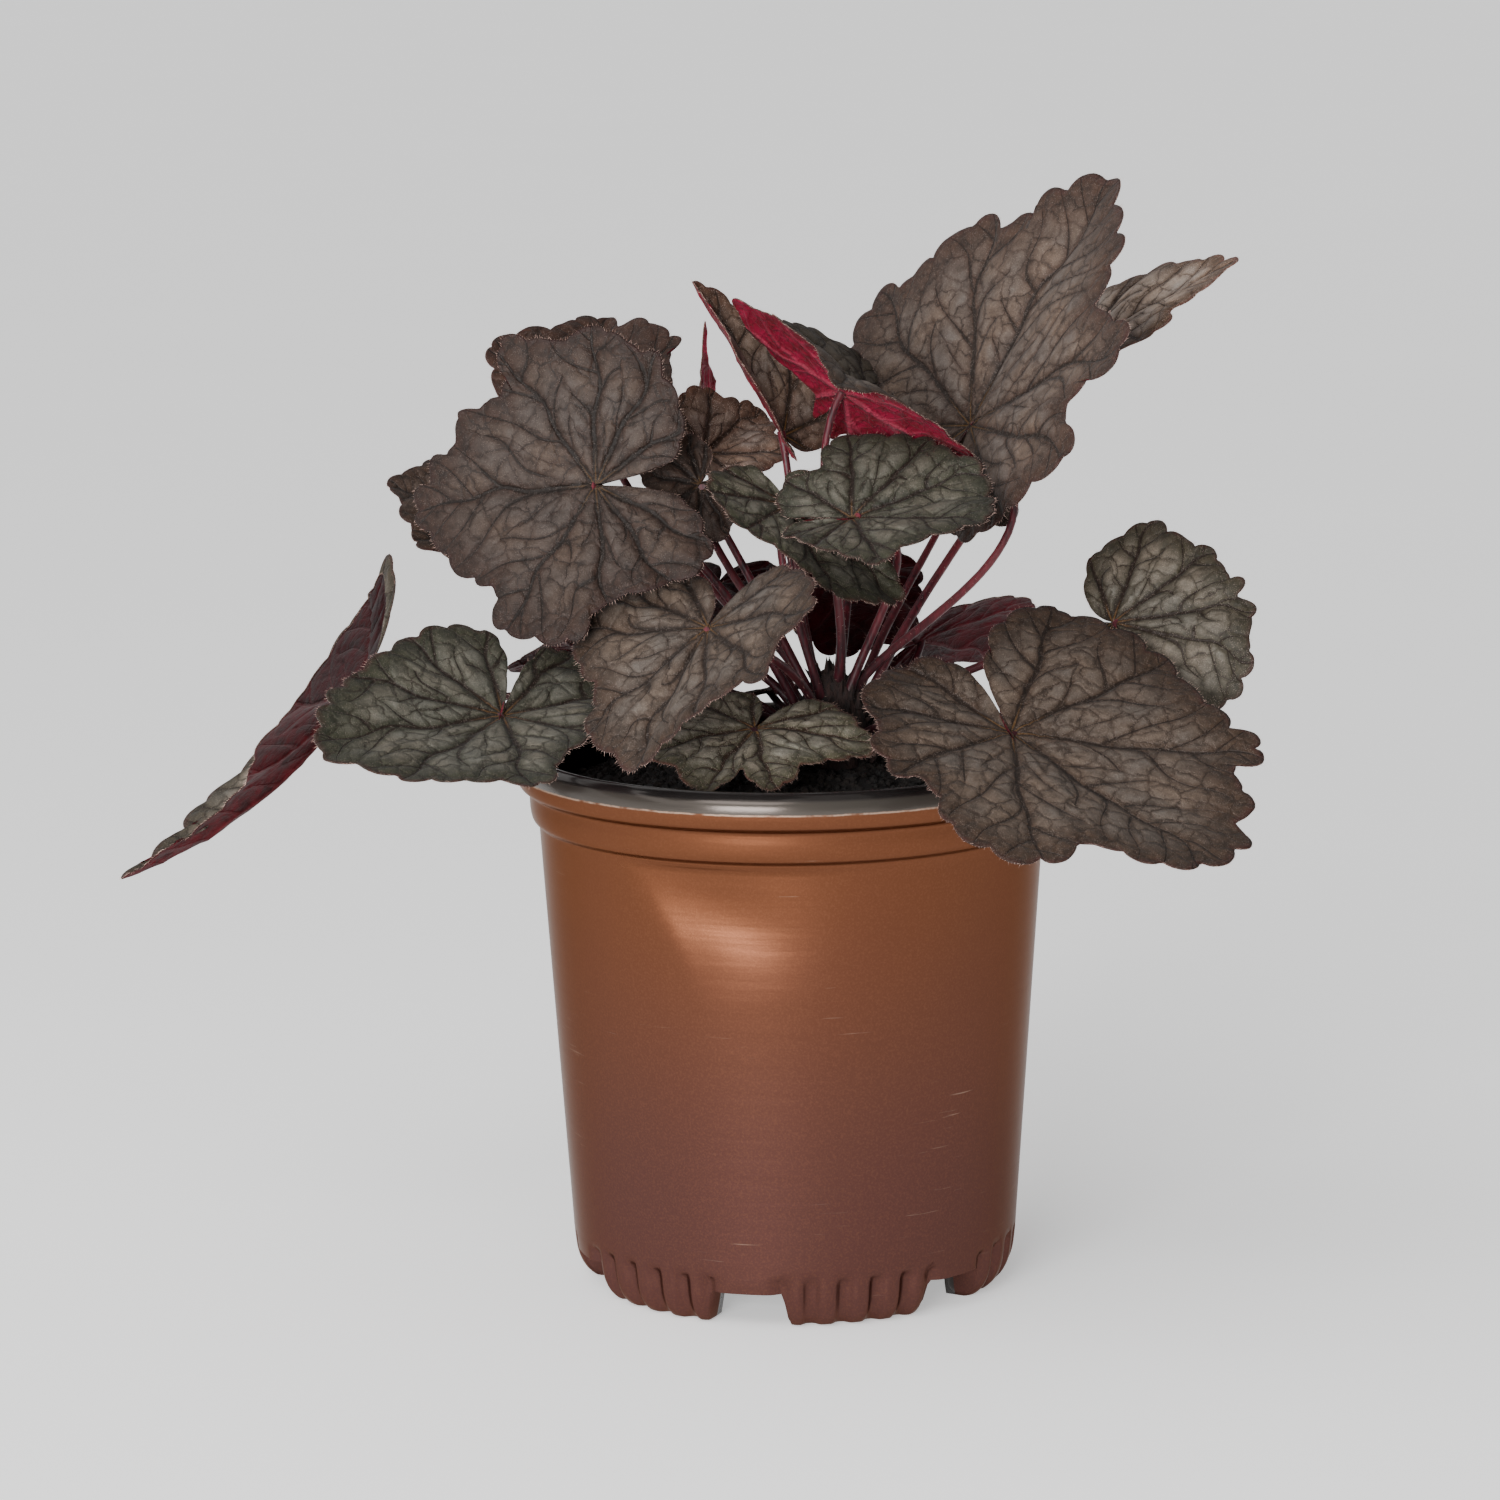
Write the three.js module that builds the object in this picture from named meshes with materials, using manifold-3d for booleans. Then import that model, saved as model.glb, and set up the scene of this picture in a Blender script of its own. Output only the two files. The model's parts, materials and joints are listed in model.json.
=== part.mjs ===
// Potted twilight heucherella: a fluted-foot nursery pot filled with growing mix,
// a woody crown and the leaves that rise from it, each a lobed blade on a petiole.
// Millimetres, +Z up, the pot's axis is the Z axis and its feet stand on Z = 0.
import * as THREE from "three";
import { mergeVertices } from "three/addons/utils/BufferGeometryUtils.js";
import Module from "manifold-3d";

const wasm = await Module();
wasm.setup();
const { Manifold, Mesh } = wasm;

const RAD = Math.PI / 180;
const GAP = 0.3;

// Pot: outer radius and height down the wall, from the foot to the rolled lip.
const POT_SEGMENTS = 60;
const POT_FOOT = [[62, 0], [65.7, 2.2], [68.7, 8], [69.9, 15], [70.3, 21]];
const POT_BODY = [[78.9, 147], [81.2, 153], [81.9, 158]];
const POT_SHOULDER = [[84.6, 161.2], [85.7, 162.8]];
const POT_LIP = [[85.4, 166.4], [83.7, 168.7], [81.3, 169.5], [79, 168.4]];
const POT_INSIDE = [[78.4, 166], [79.7, 158], [79.3, 153.6], [77, 147]];
const POT_INSIDE_FOOT = [[60, 14], [65.8, 16], [68.3, 22]];
const POT_RECESS_Z = 11.5;
const POT_RECESS_RADIUS = 55;
const POT_NOTCHES = 6;
const POT_NOTCH_FIRST = -103.5;
const POT_NOTCH_WIDTH = 22;
const POT_NOTCH_HEIGHT = 12.3;
const POT_NOTCH_FROM = 48;
const POT_NOTCH_DEPTH = 40;
const POT_NOTCH_FLARE = 1.6;
const POT_NOTCH_FLARE_Z = 3.5;
const POT_NOTCH_CORNER = 2;
const POT_GROOVES = 4;
const POT_GROOVE_PITCH = 8.6;
const POT_GROOVE = [[0, -3], [2.6, -3], [2.2, 16], [0, 20]];
const POT_GROOVE_LEAN = 13;
const POT_GROOVE_DISTANCE = 66;
const POT_GROOVE_SIDES = 6;

// How far a cutter runs past the surface that it opens.
const PAST = 4;

// Where the pot's axis stands, so that the middle of the whole plant is over the origin.
const POT_AXIS = [31.8, 15.5, 0];

// Growing mix: a shallow uneven mound a little below the lip.
const MIX_SEGMENTS = 30;
const MIX_SIDE = [[59.6, 14.3], [65.2, 16.4], [67.9, 22.3], [76.5, 146.8], [77.4, 149.5]];
const MIX_MOUND = [[77.2, 154.5], [66, 156.5], [50, 159], [33, 161], [18, 163.2]];
const MIX_TOP_Z = 164;
const MIX_ROUGHNESS = 0.7;
const MIX_WAVES = [0.31, 0.27, 0.12];

// Crown: where the petioles spring from, in rows of [radius, height].
const CROWN_CENTRE = [13, 4];
const CROWN_FOOT_Z = 148;
const CROWN_FOOT_RADIUS = 11;
const CROWN_PROFILE = [[13.4, 163], [13.4, 168], [11.6, 175], [9.4, 182], [6.2, 189]];
const CROWN_TOP_Z = 193;
const CROWN_SIDES = 12;
const ROWS = [[10.2, 168], [8.5, 175], [5.8, 181.5], [3.2, 187.5]];
const ROOT_HOLE_LENGTH = 14;

// Blades and petioles.
const BLADE_THICKNESS = 0.7;
const TOOTH_DEPTH = 0.055;
const TOOTH_MIDDLE = 0.62;
const TOOTH_FADE = 0.07;
const TOOTH_STEPS = 3;
const EDGE_STEPS = 720;
const BLADE_APEX = 0.012;
const BLADE_MIDDLE = 0.1;
const RING_SHARES = [0.74, 0.38];
const RING_STEPS = [2, 6];
const CUP_SHARE = 0.7;
const PLEAT = 0.02;
const PLEAT_MIDDLE = 0.6;
const PLEAT_GROWTH = 1.6;
const PETIOLE_RADIUS = 1.5;
const PETIOLE_SIDES = 6;
const PETIOLE_STEPS = 8;
const PETIOLE_SEAT = 0.25;
const PETIOLE_FORWARD = 1.5;
const PETIOLE_SPREAD = 0.14;
const PETIOLE_RISE = 0.3;
const PETIOLE_REACH = 0.28;
const PETIOLE_ARRIVAL = [0.8, 0.42];

// Colours.
const POT_COPPER = 0x8d4a2c;
const MIX_BROWN = 0x1b1512;
const CROWN_BROWN = 0x33201b;
const PETIOLE_RED = 0x6b2236;
const SILVER_BROWN = 0x6b6159;
const SILVER_GREEN = 0x6a6c5c;
const DARK_GREEN = 0x4c4f4a;
const BURGUNDY = 0x7a2440;

// Outline of a blade as [degrees from the midrib, share of the midrib's length].
const SEVEN_LOBES = [
  [-173, 0.1], [-160, 0.36], [-140, 0.54], [-118, 0.58], [-98, 0.72], [-76, 0.66],
  [-50, 0.86], [-27, 0.74], [0, 1], [27, 0.74], [50, 0.86], [76, 0.66], [98, 0.72],
  [118, 0.58], [140, 0.54], [160, 0.36], [173, 0.1],
];
const SEVEN_RIBS = [-140, -98, -50, 0, 50, 98, 140];

// Each leaf: base is where the petiole meets the blade and tip the end of the
// midrib; roll, droop, cup, fold and twist are degrees; root is the azimuth and
// row on the crown; rise and reach bend the petiole near the crown and the blade.
const LEAVES = [
  {
    name: "leaf_01", base: [57, 20, 267], tip: [103, 34, 344], teeth: 30,
    roll: -15, droop: 10, cup: 5, fold: 10, twist: 0, colour: SILVER_BROWN,
    root: [12, 2], rise: [2, 3, 20], reach: [44, 10, -43],
    edge: [
      [-170, 0.1], [-152, 0.36], [-136, 0.5], [-115, 0.55], [-100, 0.62], [-85, 0.71],
      [-72, 0.6], [-62, 0.8], [-55, 0.83], [-40, 0.69], [-25, 0.84], [-10, 0.91],
      [0, 0.99], [13, 0.88], [23, 0.75], [33, 0.82], [42, 0.78], [50, 0.76],
      [57, 0.71], [64, 0.78], [72, 0.8], [84, 0.74], [93, 0.66], [108, 0.58],
      [125, 0.6], [150, 0.45], [170, 0.1],
    ],
    ribs: [-118, -86, -56, 0, 32, 70, 108, 142],
  },
  {
    name: "leaf_02", base: [93, 60, 286], tip: [143, 50, 318], teeth: 20,
    roll: -20, droop: 10, cup: 25, fold: 10, twist: 0, colour: SILVER_GREEN,
    root: [22, 1], rise: [20, 4, 46], reach: [-20, 14, -40],
    edge: [
      [-172, 0.1], [-150, 0.35], [-110, 0.42], [-75, 0.48], [-54, 0.53], [-44, 0.65],
      [-36, 0.72], [-30, 0.71], [-25, 0.84], [-16, 0.92], [-8, 1], [0, 0.93],
      [5, 0.86], [10, 0.76], [28, 0.65], [37, 0.59], [59, 0.53], [95, 0.52],
      [140, 0.42], [172, 0.1],
    ],
    ribs: [-140, -100, -45, -8, 37, 95, 140],
  },
  {
    name: "leaf_03", base: [-59, -25, 255], tip: [-115, -4, 247], teeth: 30,
    roll: 70, droop: 15, cup: 0, fold: 10, twist: 0, colour: SILVER_BROWN,
    root: [200, 1],
    edge: [
      [-172, 0.1], [-169, 0.32], [-162, 0.45], [-152, 0.52], [-135, 0.61],
      [-124, 0.66], [-116, 0.73], [-106, 0.72], [-96, 0.8], [-78, 0.76], [-59, 0.9],
      [-54, 0.79], [-46, 0.67], [-41, 0.74], [-37, 0.73], [-31, 0.84], [-21, 0.78],
      [-14, 0.9], [-9, 0.91], [-3, 1], [3, 1.01], [8, 0.96], [14, 0.9], [25, 0.84],
      [39, 0.78], [44.5, 0.71], [52, 0.81], [58, 0.88], [68, 0.87], [84, 0.86],
      [98, 0.64], [118, 0.66], [141, 0.74], [159, 0.57], [167, 0.46], [172, 0.32],
      [174, 0.1],
    ],
    ribs: [-148, -118, -92, -57, 0, 60, 98, 126, 150],
  },
  {
    name: "leaf_04", base: [-58, 18, 270], tip: [-56, 48, 300], teeth: 20,
    roll: 0, droop: 30, cup: 0, fold: 16, twist: 0, colour: BURGUNDY,
    root: [147, 1],
    edge: [
      [-170, 0.1], [-145, 0.34], [-100, 0.42], [-60, 0.62], [-51, 0.64], [-44, 0.82],
      [-30, 0.84], [-16, 0.9], [-8, 0.86], [0, 0.97], [15, 0.92], [24, 0.84],
      [44, 0.9], [60, 0.98], [80, 0.8], [110, 0.7], [145, 0.5], [170, 0.1],
    ],
    ribs: [-140, -95, -42, 0, 56, 100, 140],
  },
  {
    name: "leaf_05", base: [-94, 25, 238], tip: [-126, 24, 250], teeth: 18,
    roll: 30, droop: 15, cup: 20, fold: 10, twist: 0, colour: DARK_GREEN,
    root: [172, 1],
    edge: [
      [-170, 0.1], [-140, 0.5], [-95, 0.7], [-50, 0.82], [-20, 0.86], [0, 1],
      [12, 0.86], [29, 0.9], [41, 0.86], [52, 0.94], [62, 0.84], [90, 0.74],
      [140, 0.5], [170, 0.1],
    ],
    ribs: [-140, -95, -45, 0, 50, 95, 140],
  },
  {
    name: "leaf_06", base: [-26, 12, 260], tip: [-6, 30, 269], teeth: 18,
    roll: -45, droop: 5, cup: 0, fold: 24, twist: 0, colour: SILVER_BROWN,
    root: [165, 2],
    edge: [
      [-170, 0.1], [-140, 0.34], [-100, 0.5], [-72, 0.74], [-56, 0.84], [-40, 0.96],
      [-24, 0.86], [0, 1], [11, 0.95], [25, 0.8], [39, 0.73], [55, 0.76], [72, 0.74],
      [90, 0.62], [115, 0.4], [145, 0.3], [170, 0.1],
    ],
    ribs: [-140, -90, -42, 8, 45, 90, 140],
  },
  {
    name: "leaf_07", base: [-24, 45, 262], tip: [-26, 38, 299], teeth: 16,
    roll: -100, droop: 10, cup: 0, fold: 0, twist: 0, colour: BURGUNDY,
    root: [125, 2],
    edge: [
      [-172, 0.1], [-140, 0.45], [-98, 0.6], [-60, 0.62], [-40, 0.6], [-22, 0.62],
      [-9, 0.8], [0, 1], [9, 0.8], [22, 0.62], [40, 0.6], [60, 0.62], [98, 0.6],
      [140, 0.45], [172, 0.1],
    ],
    ribs: SEVEN_RIBS,
  },
  {
    name: "leaf_08", base: [-1, 7, 266], tip: [-28, 14, 313], teeth: 22,
    roll: 10, droop: 5, cup: 0, fold: 25, twist: 0, colour: SILVER_BROWN,
    root: [180, 3], reach: [8, -7, -30],
    edge: [
      [-170, 0.06], [-150, 0.16], [-124, 0.27], [-110, 0.32], [-92, 0.38], [-79, 0.41],
      [-49, 0.48], [-34, 0.56], [-24, 0.66], [-12, 0.8], [0, 1], [12, 0.8], [22, 0.7],
      [40, 0.7], [52, 0.66], [64, 0.5], [80, 0.42], [110, 0.32], [145, 0.18],
      [170, 0.06],
    ],
    ribs: [-140, -92, -45, 0, 44, 95, 140],
  },
  {
    name: "leaf_09", base: [17, -6, 281], tip: [15, -46, 287], teeth: 22,
    roll: 34, droop: 55, cup: 0, fold: 5, twist: 0, colour: BURGUNDY,
    root: [300, 3], reach: [-14, 8, -26],
    edge: [
      [-177, 0.1], [-175, 0.34], [-170, 0.45], [-160, 0.36], [-146, 0.3], [-128, 0.36],
      [-112, 0.54], [-98, 0.82], [-87, 1.04], [-74, 0.8], [-50, 0.8], [-26, 0.74],
      [0, 1], [26, 0.74], [50, 0.8], [74, 0.84], [87, 1.13], [99, 0.8], [112, 0.58],
      [128, 0.5], [146, 0.46], [160, 0.46], [169, 0.52], [174, 0.36], [177, 0.1],
    ],
    ribs: [-150, -98, -50, 0, 50, 96, 150],
  },
  {
    name: "leaf_10", base: [25, 33, 273], tip: [-1, 49, 298], teeth: 18,
    roll: 0, droop: 20, cup: -10, fold: -10, twist: 0, colour: DARK_GREEN,
    root: [60, 3],
    edge: [
      [-170, 0.1], [-145, 0.16], [-100, 0.28], [-76, 0.4], [-62, 0.66], [-52, 0.82],
      [-42, 0.84], [-32, 0.82], [-22, 0.94], [-10, 1], [0, 1], [20, 0.74], [50, 0.44],
      [100, 0.3], [145, 0.24], [170, 0.1],
    ],
    ribs: [-140, -95, -52, -8, 45, 95, 140],
  },
  {
    name: "leaf_11", base: [19, -30, 245], tip: [62, -31, 251], teeth: 26,
    roll: -30, droop: 5, cup: 20, fold: 22, twist: 0, colour: DARK_GREEN,
    root: [318, 2], rise: [3, -3, 20], reach: [29, 26, -5],
    edge: [
      [-188, 0.1], [-186.5, 0.37], [-179, 0.49], [-170, 0.49], [-150, 0.45],
      [-128, 0.48], [-108, 0.55], [-91, 0.66], [-77, 0.79], [-66, 0.72], [-50, 0.76],
      [-33, 0.9], [-21, 1.02], [-8, 1], [0, 0.98], [17, 0.99], [30, 0.86], [42, 0.86],
      [55, 0.8], [70, 0.76], [84, 0.79], [97, 0.74], [111, 0.5], [134, 0.6],
      [148, 0.58], [158, 0.54], [165, 0.5], [168, 0.37], [169, 0.1],
    ],
    ribs: [-165, -125, -78, -24, 14, 42, 84, 134],
  },
  {
    name: "leaf_12", base: [0, -12, 247], tip: [34, -27, 219], teeth: 22,
    roll: -30, droop: 0, cup: -5, fold: 16, twist: 0, colour: DARK_GREEN,
    root: [243, 2],
    edge: [
      [-195, 0.1], [-186, 0.36], [-159, 0.48], [-134, 0.6], [-103, 0.61], [-86, 0.56],
      [-71, 0.55], [-47, 0.66], [-29, 0.88], [-14, 0.95], [0, 1], [14, 0.7],
      [30, 0.42], [60, 0.3], [100, 0.28], [135, 0.22], [148, 0.1],
    ],
    ribs: [-160, -128, -90, -32, 0, 45, 95],
  },
  {
    name: "leaf_13", base: [-27, -9, 253], tip: [-22, -19, 236], teeth: 16,
    roll: -25, droop: -5, cup: 10, fold: 14, twist: 0, colour: BURGUNDY,
    root: [207, 2],
    edge: [
      [-225, 0.1], [-218, 0.45], [-205, 0.6], [-190, 0.76], [-179, 0.82], [-160, 0.74],
      [-142, 0.8], [-128, 0.78], [-114, 0.94], [-95, 0.8], [-70, 0.7], [-45, 0.72],
      [-17, 0.98], [0, 1], [17, 0.88], [35, 0.7], [53, 0.66], [75, 0.6], [95, 0.3],
      [105, 0.1],
    ],
    ribs: [-205, -180, -145, -114, -65, -17, 12, 55],
  },
  {
    name: "leaf_14", base: [-25, -58, 216], tip: [-47, -88, 179], teeth: 26,
    roll: -5, droop: 10, cup: 0, fold: 10, twist: 0, colour: SILVER_BROWN,
    root: [247, 1],
    edge: [
      [-170, 0.1], [-152, 0.36], [-136, 0.5], [-121, 0.68], [-106, 0.82], [-84, 0.86],
      [-62, 0.8], [-40, 0.73], [-25, 0.93], [-10, 0.97], [0, 1.02], [12, 0.88],
      [28, 0.72], [45, 0.74], [61, 0.86], [73, 0.76], [92, 0.82], [110, 0.74],
      [127, 0.63], [154, 0.48], [171, 0.1],
    ],
    ribs: [-135, -105, -76, -26, 0, 28, 60, 95, 135],
  },
  {
    name: "leaf_15", base: [-87, -52, 189], tip: [-138, -92, 183], teeth: 28,
    roll: 25, droop: -5, cup: 0, fold: 12, twist: 0, colour: SILVER_GREEN,
    root: [207, 0],
    edge: [
      [-130, 0.08], [-125, 0.38], [-119, 0.51], [-107, 0.57], [-87, 0.6], [-64, 0.62],
      [-40, 0.71], [-25, 0.84], [-12, 0.94], [0, 1], [10, 0.92], [22, 0.87],
      [43, 0.78], [56, 0.74], [68, 0.77], [78, 0.62], [87, 0.52], [110, 0.47],
      [140, 0.47], [174, 0.52], [194, 0.6], [213, 0.54], [221, 0.34], [225, 0.08],
    ],
    ribs: [-112, -72, -38, -8, 22, 64, 120, 170, 205],
  },
  {
    name: "leaf_16", base: [-11, -28, 180], tip: [-28, -60, 166], teeth: 22,
    roll: 10, droop: 5, cup: 20, fold: 10, twist: 0, colour: SILVER_GREEN,
    root: [236, 0],
    edge: [
      [-170, 0.2], [-152, 0.5], [-121, 0.56], [-86, 0.6], [-62, 0.8], [-40, 0.96],
      [-22, 0.88], [0, 1], [10, 0.86], [17, 0.66], [24, 0.84], [34, 0.92], [46, 0.84],
      [57, 0.7], [80, 0.8], [104, 1], [120, 0.82], [135, 0.74], [160, 0.6], [172, 0.2],
    ],
    ribs: [-150, -100, -42, 0, 34, 104, 140],
  },
  {
    name: "leaf_17", base: [66, -58, 183], tip: [133, -99, 158], teeth: 32,
    roll: -20, droop: -5, cup: 10, fold: 10, twist: 0, colour: SILVER_BROWN,
    root: [310, 0],
    edge: [
      [-213, 0.1], [-211.5, 0.27], [-203, 0.43], [-191, 0.5], [-172, 0.54],
      [-152, 0.56], [-138, 0.5], [-123, 0.56], [-106, 0.57], [-95, 0.52], [-84, 0.6],
      [-79, 0.68], [-59, 0.82], [-49, 0.84], [-36, 0.76], [-26, 0.93], [-20, 1],
      [-12, 1.04], [-4, 1.045], [3, 0.95], [8, 0.95], [12, 0.92], [19, 0.82],
      [25, 0.9], [30, 0.92], [34, 0.88], [38, 0.82], [58, 0.72], [75, 0.74],
      [96, 0.73], [113, 0.73], [126, 0.62], [136, 0.44], [142, 0.28], [144, 0.1],
    ],
    ribs: [-186, -150, -106, -52, -14, 26, 70, 110],
  },
  {
    name: "leaf_18", base: [100, -5, 208], tip: [142, -24, 200], teeth: 24,
    roll: -65, droop: 15, cup: 10, fold: -10, twist: 0, colour: SILVER_GREEN,
    root: [352, 0],
    edge: [
      [-172, 0.1], [-152, 0.45], [-120, 0.62], [-90, 0.72], [-60, 0.8], [-40, 0.84],
      [-23, 0.96], [-15, 1.01], [0, 1], [8, 0.93], [20, 0.97], [27, 0.88], [34, 0.91],
      [42, 0.82], [55, 0.84], [72, 0.76], [94, 0.83], [112, 0.66], [127, 0.59],
      [141, 0.42], [160, 0.2], [174, 0.05],
    ],
    ribs: [-130, -85, -42, 0, 22, 55, 94, 130],
  },
  {
    name: "leaf_19", base: [-134, 6, 190], tip: [-208, -16, 133.5], teeth: 24,
    roll: -8, droop: -37, cup: 0, fold: 22, twist: 0, colour: BURGUNDY,
    root: [182, 0],
    edge: [
      [-174, 0.1], [-164, 0.36], [-156, 0.46], [-145, 0.36], [-130, 0.31], [-90, 0.28],
      [-70, 0.27], [-50, 0.33], [-35, 0.42], [-22, 0.53], [-16, 0.68], [-10, 0.76],
      [-5, 0.87], [0, 1], [5, 0.86], [10, 0.68], [23, 0.57], [38, 0.59], [52, 0.6],
      [68, 0.58], [90, 0.51], [110, 0.51], [128, 0.53], [136, 0.42], [146, 0.22],
      [156, 0.1],
    ],
    ribs: [-140, -90, -45, 0, 30, 66, 118],
  },
  {
    name: "leaf_20", base: [41, 45, 195], tip: [79, 50, 206], teeth: 18,
    roll: 30, droop: 20, cup: 10, fold: -2, twist: 0, colour: BURGUNDY,
    root: [52, 0],
    edge: [
      [-170, 0.1], [-145, 0.36], [-100, 0.5], [-57, 0.68], [-40, 0.74], [-23, 0.84],
      [0, 1], [17, 0.96], [35, 0.88], [54, 1], [62, 0.8], [90, 0.6], [140, 0.45],
      [170, 0.1],
    ],
    ribs: SEVEN_RIBS,
  },
  {
    name: "leaf_21", base: [-22, 46, 215], tip: [-32, 74, 186], teeth: 18,
    roll: 0, droop: 20, cup: 10, fold: 0, twist: 0, colour: BURGUNDY,
    root: [115, 1],
    edge: [
      [-173, 0.1], [-160, 0.34], [-140, 0.46], [-118, 0.46], [-98, 0.5], [-76, 0.5],
      [-50, 0.68], [-27, 0.72], [0, 1], [27, 0.74], [50, 0.86], [76, 0.66], [98, 0.72],
      [118, 0.58], [140, 0.54], [160, 0.36], [173, 0.1],
    ],
    ribs: SEVEN_RIBS,
  },
  {
    name: "leaf_22", base: [18, 45, 219], tip: [17, 74, 186], teeth: 20,
    roll: 0, droop: 20, cup: 10, fold: 0, twist: 0, colour: BURGUNDY,
    root: [82, 1],
    edge: [
      [-172, 0.1], [-166, 0.3], [-140, 0.42], [-110, 0.5], [-90, 0.56], [-70, 0.6],
      [-50, 0.74], [-30, 0.96], [-15, 0.96], [0, 1], [20, 0.85], [45, 0.68],
      [70, 0.55], [95, 0.46], [120, 0.4], [145, 0.32], [166, 0.24], [172, 0.1],
    ],
    ribs: SEVEN_RIBS,
  },
  {
    name: "leaf_23", base: [-61, 30, 194], tip: [-89, 20, 192], teeth: 16,
    roll: -30, droop: 20, cup: 10, fold: 0, twist: 0, colour: BURGUNDY,
    root: [158, 0],
    edge: [
      [-173, 0.1], [-160, 0.36], [-140, 0.54], [-118, 0.58], [-98, 0.72], [-76, 0.66],
      [-50, 0.86], [-27, 0.8], [0, 1], [22, 0.84], [40, 0.94], [63, 1.05], [80, 0.9],
      [98, 0.96], [118, 0.7], [140, 0.54], [160, 0.36], [173, 0.1],
    ],
    ribs: SEVEN_RIBS,
  },
  {
    name: "leaf_24", base: [-6, 24, 184], tip: [-17, 36, 177], teeth: 16,
    roll: 0, droop: 20, cup: 10, fold: 0, twist: 0, colour: BURGUNDY,
    root: [133, 0],
    edge: SEVEN_LOBES,
    ribs: SEVEN_RIBS,
  },
  {
    name: "leaf_25", base: [54, 42, 250], tip: [72, 37, 234], teeth: 16,
    roll: -60, droop: 20, cup: 10, fold: 0, twist: 0, colour: DARK_GREEN,
    root: [50, 1], rise: [13, 1, 40], reach: [-4, 14, -22],
    edge: SEVEN_LOBES,
    ribs: SEVEN_RIBS,
  },
];

const vec = (p) => new THREE.Vector3(...p);

// The blade's own axes: along the midrib, to the left of it and up from the blade.
function leafFrame(leaf) {
  const along = vec(leaf.tip).sub(vec(leaf.base));
  const chord = along.length();
  along.normalize();
  const up = new THREE.Vector3(0, 0, 1).addScaledVector(along, -along.z).normalize();
  const side = new THREE.Vector3().crossVectors(up, along);
  const normal = up.multiplyScalar(Math.cos(leaf.roll * RAD));
  normal.addScaledVector(side, Math.sin(leaf.roll * RAD));
  const left = new THREE.Vector3().crossVectors(normal, along);
  const half = (leaf.droop * RAD) / 2;
  const length = Math.abs(half) > 1e-4 ? (chord * half) / Math.sin(half) : chord;
  return { along, left, normal, length };
}

// Smooth curve through [x, y] points that never overshoots them.
function smoothThrough(points) {
  const n = points.length;
  const span = points.slice(1).map((p, i) => p[0] - points[i][0]);
  const slope = points.slice(1).map((p, i) => (p[1] - points[i][1]) / span[i]);
  const tangent = points.map((_, i) => {
    if (i === 0) return slope[0];
    if (i === n - 1) return slope[n - 2];
    const product = slope[i - 1] * slope[i];
    return product > 0 ? (2 * product) / (slope[i - 1] + slope[i]) : 0;
  });
  return (x) => {
    let i = 0;
    while (i < n - 2 && x > points[i + 1][0]) i += 1;
    const h = span[i];
    const t = (x - points[i][0]) / h;
    const s = 1 - t;
    const held = points[i][1] * (1 + 2 * t) * s * s + points[i + 1][1] * t * t * (3 - 2 * t);
    return held + h * (tangent[i] * t * s * s - tangent[i + 1] * t * t * s);
  };
}

// Points at even steps round the blade's edge, with and without its round teeth.
function bladeEdge(leaf) {
  const first = leaf.edge[0][0];
  const last = leaf.edge[leaf.edge.length - 1][0];
  const radius = smoothThrough(leaf.edge);
    const walk = [];
  let run = 0;
  for (let i = 0; i <= EDGE_STEPS; i++) {
    const angle = first + ((last - first) * i) / EDGE_STEPS;
    const r = radius(angle);
    const p = [r * Math.cos(angle * RAD), r * Math.sin(angle * RAD)];
    if (i) run += Math.hypot(p[0] - walk[i - 1][1], p[1] - walk[i - 1][2]);
    walk.push([run, ...p]);
  }
  const count = leaf.teeth * TOOTH_STEPS;
  const plain = [];
  const toothed = [];
  let k = 0;
  for (let i = 0; i < count; i++) {
    const t = i / count;
    while (walk[k + 1][0] < t * run) k += 1;
    const f = (t * run - walk[k][0]) / (walk[k + 1][0] - walk[k][0]);
    const x = walk[k][1] + (walk[k + 1][1] - walk[k][1]) * f;
    const y = walk[k][2] + (walk[k + 1][2] - walk[k][2]) * f;
    const fade = Math.min(1, Math.min(t, 1 - t) / TOOTH_FADE);
    const wave = Math.abs(Math.sin(Math.PI * t * leaf.teeth)) - TOOTH_MIDDLE;
    const scale = 1 + TOOTH_DEPTH * wave * fade;
    plain.push([x, y]);
    toothed.push([x * scale, y * scale]);
  }
  const middle = ((first + last) / 2) * RAD;
  const inward = (share) => [share * Math.cos(middle), share * Math.sin(middle)];
  const apex = inward(BLADE_APEX);
  plain[0] = apex;
  toothed[0] = apex;
  return { plain, toothed, centre: inward(BLADE_MIDDLE) };
}

// Height of the soft pleats between the main ribs.
function pleatAt(leaf, angle) {
  const low = leaf.edge[0][0];
  let a = angle;
  if (a < low) a += 360;
  if (a > low + 360) a -= 360;
  for (let i = 0; i + 1 < leaf.ribs.length; i++) {
    const [from, to] = [leaf.ribs[i], leaf.ribs[i + 1]];
    if (a >= from && a <= to) {
      return Math.sin((Math.PI * (a - from)) / (to - from)) - PLEAT_MIDDLE;
    }
  }
  return 0;
}

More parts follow.
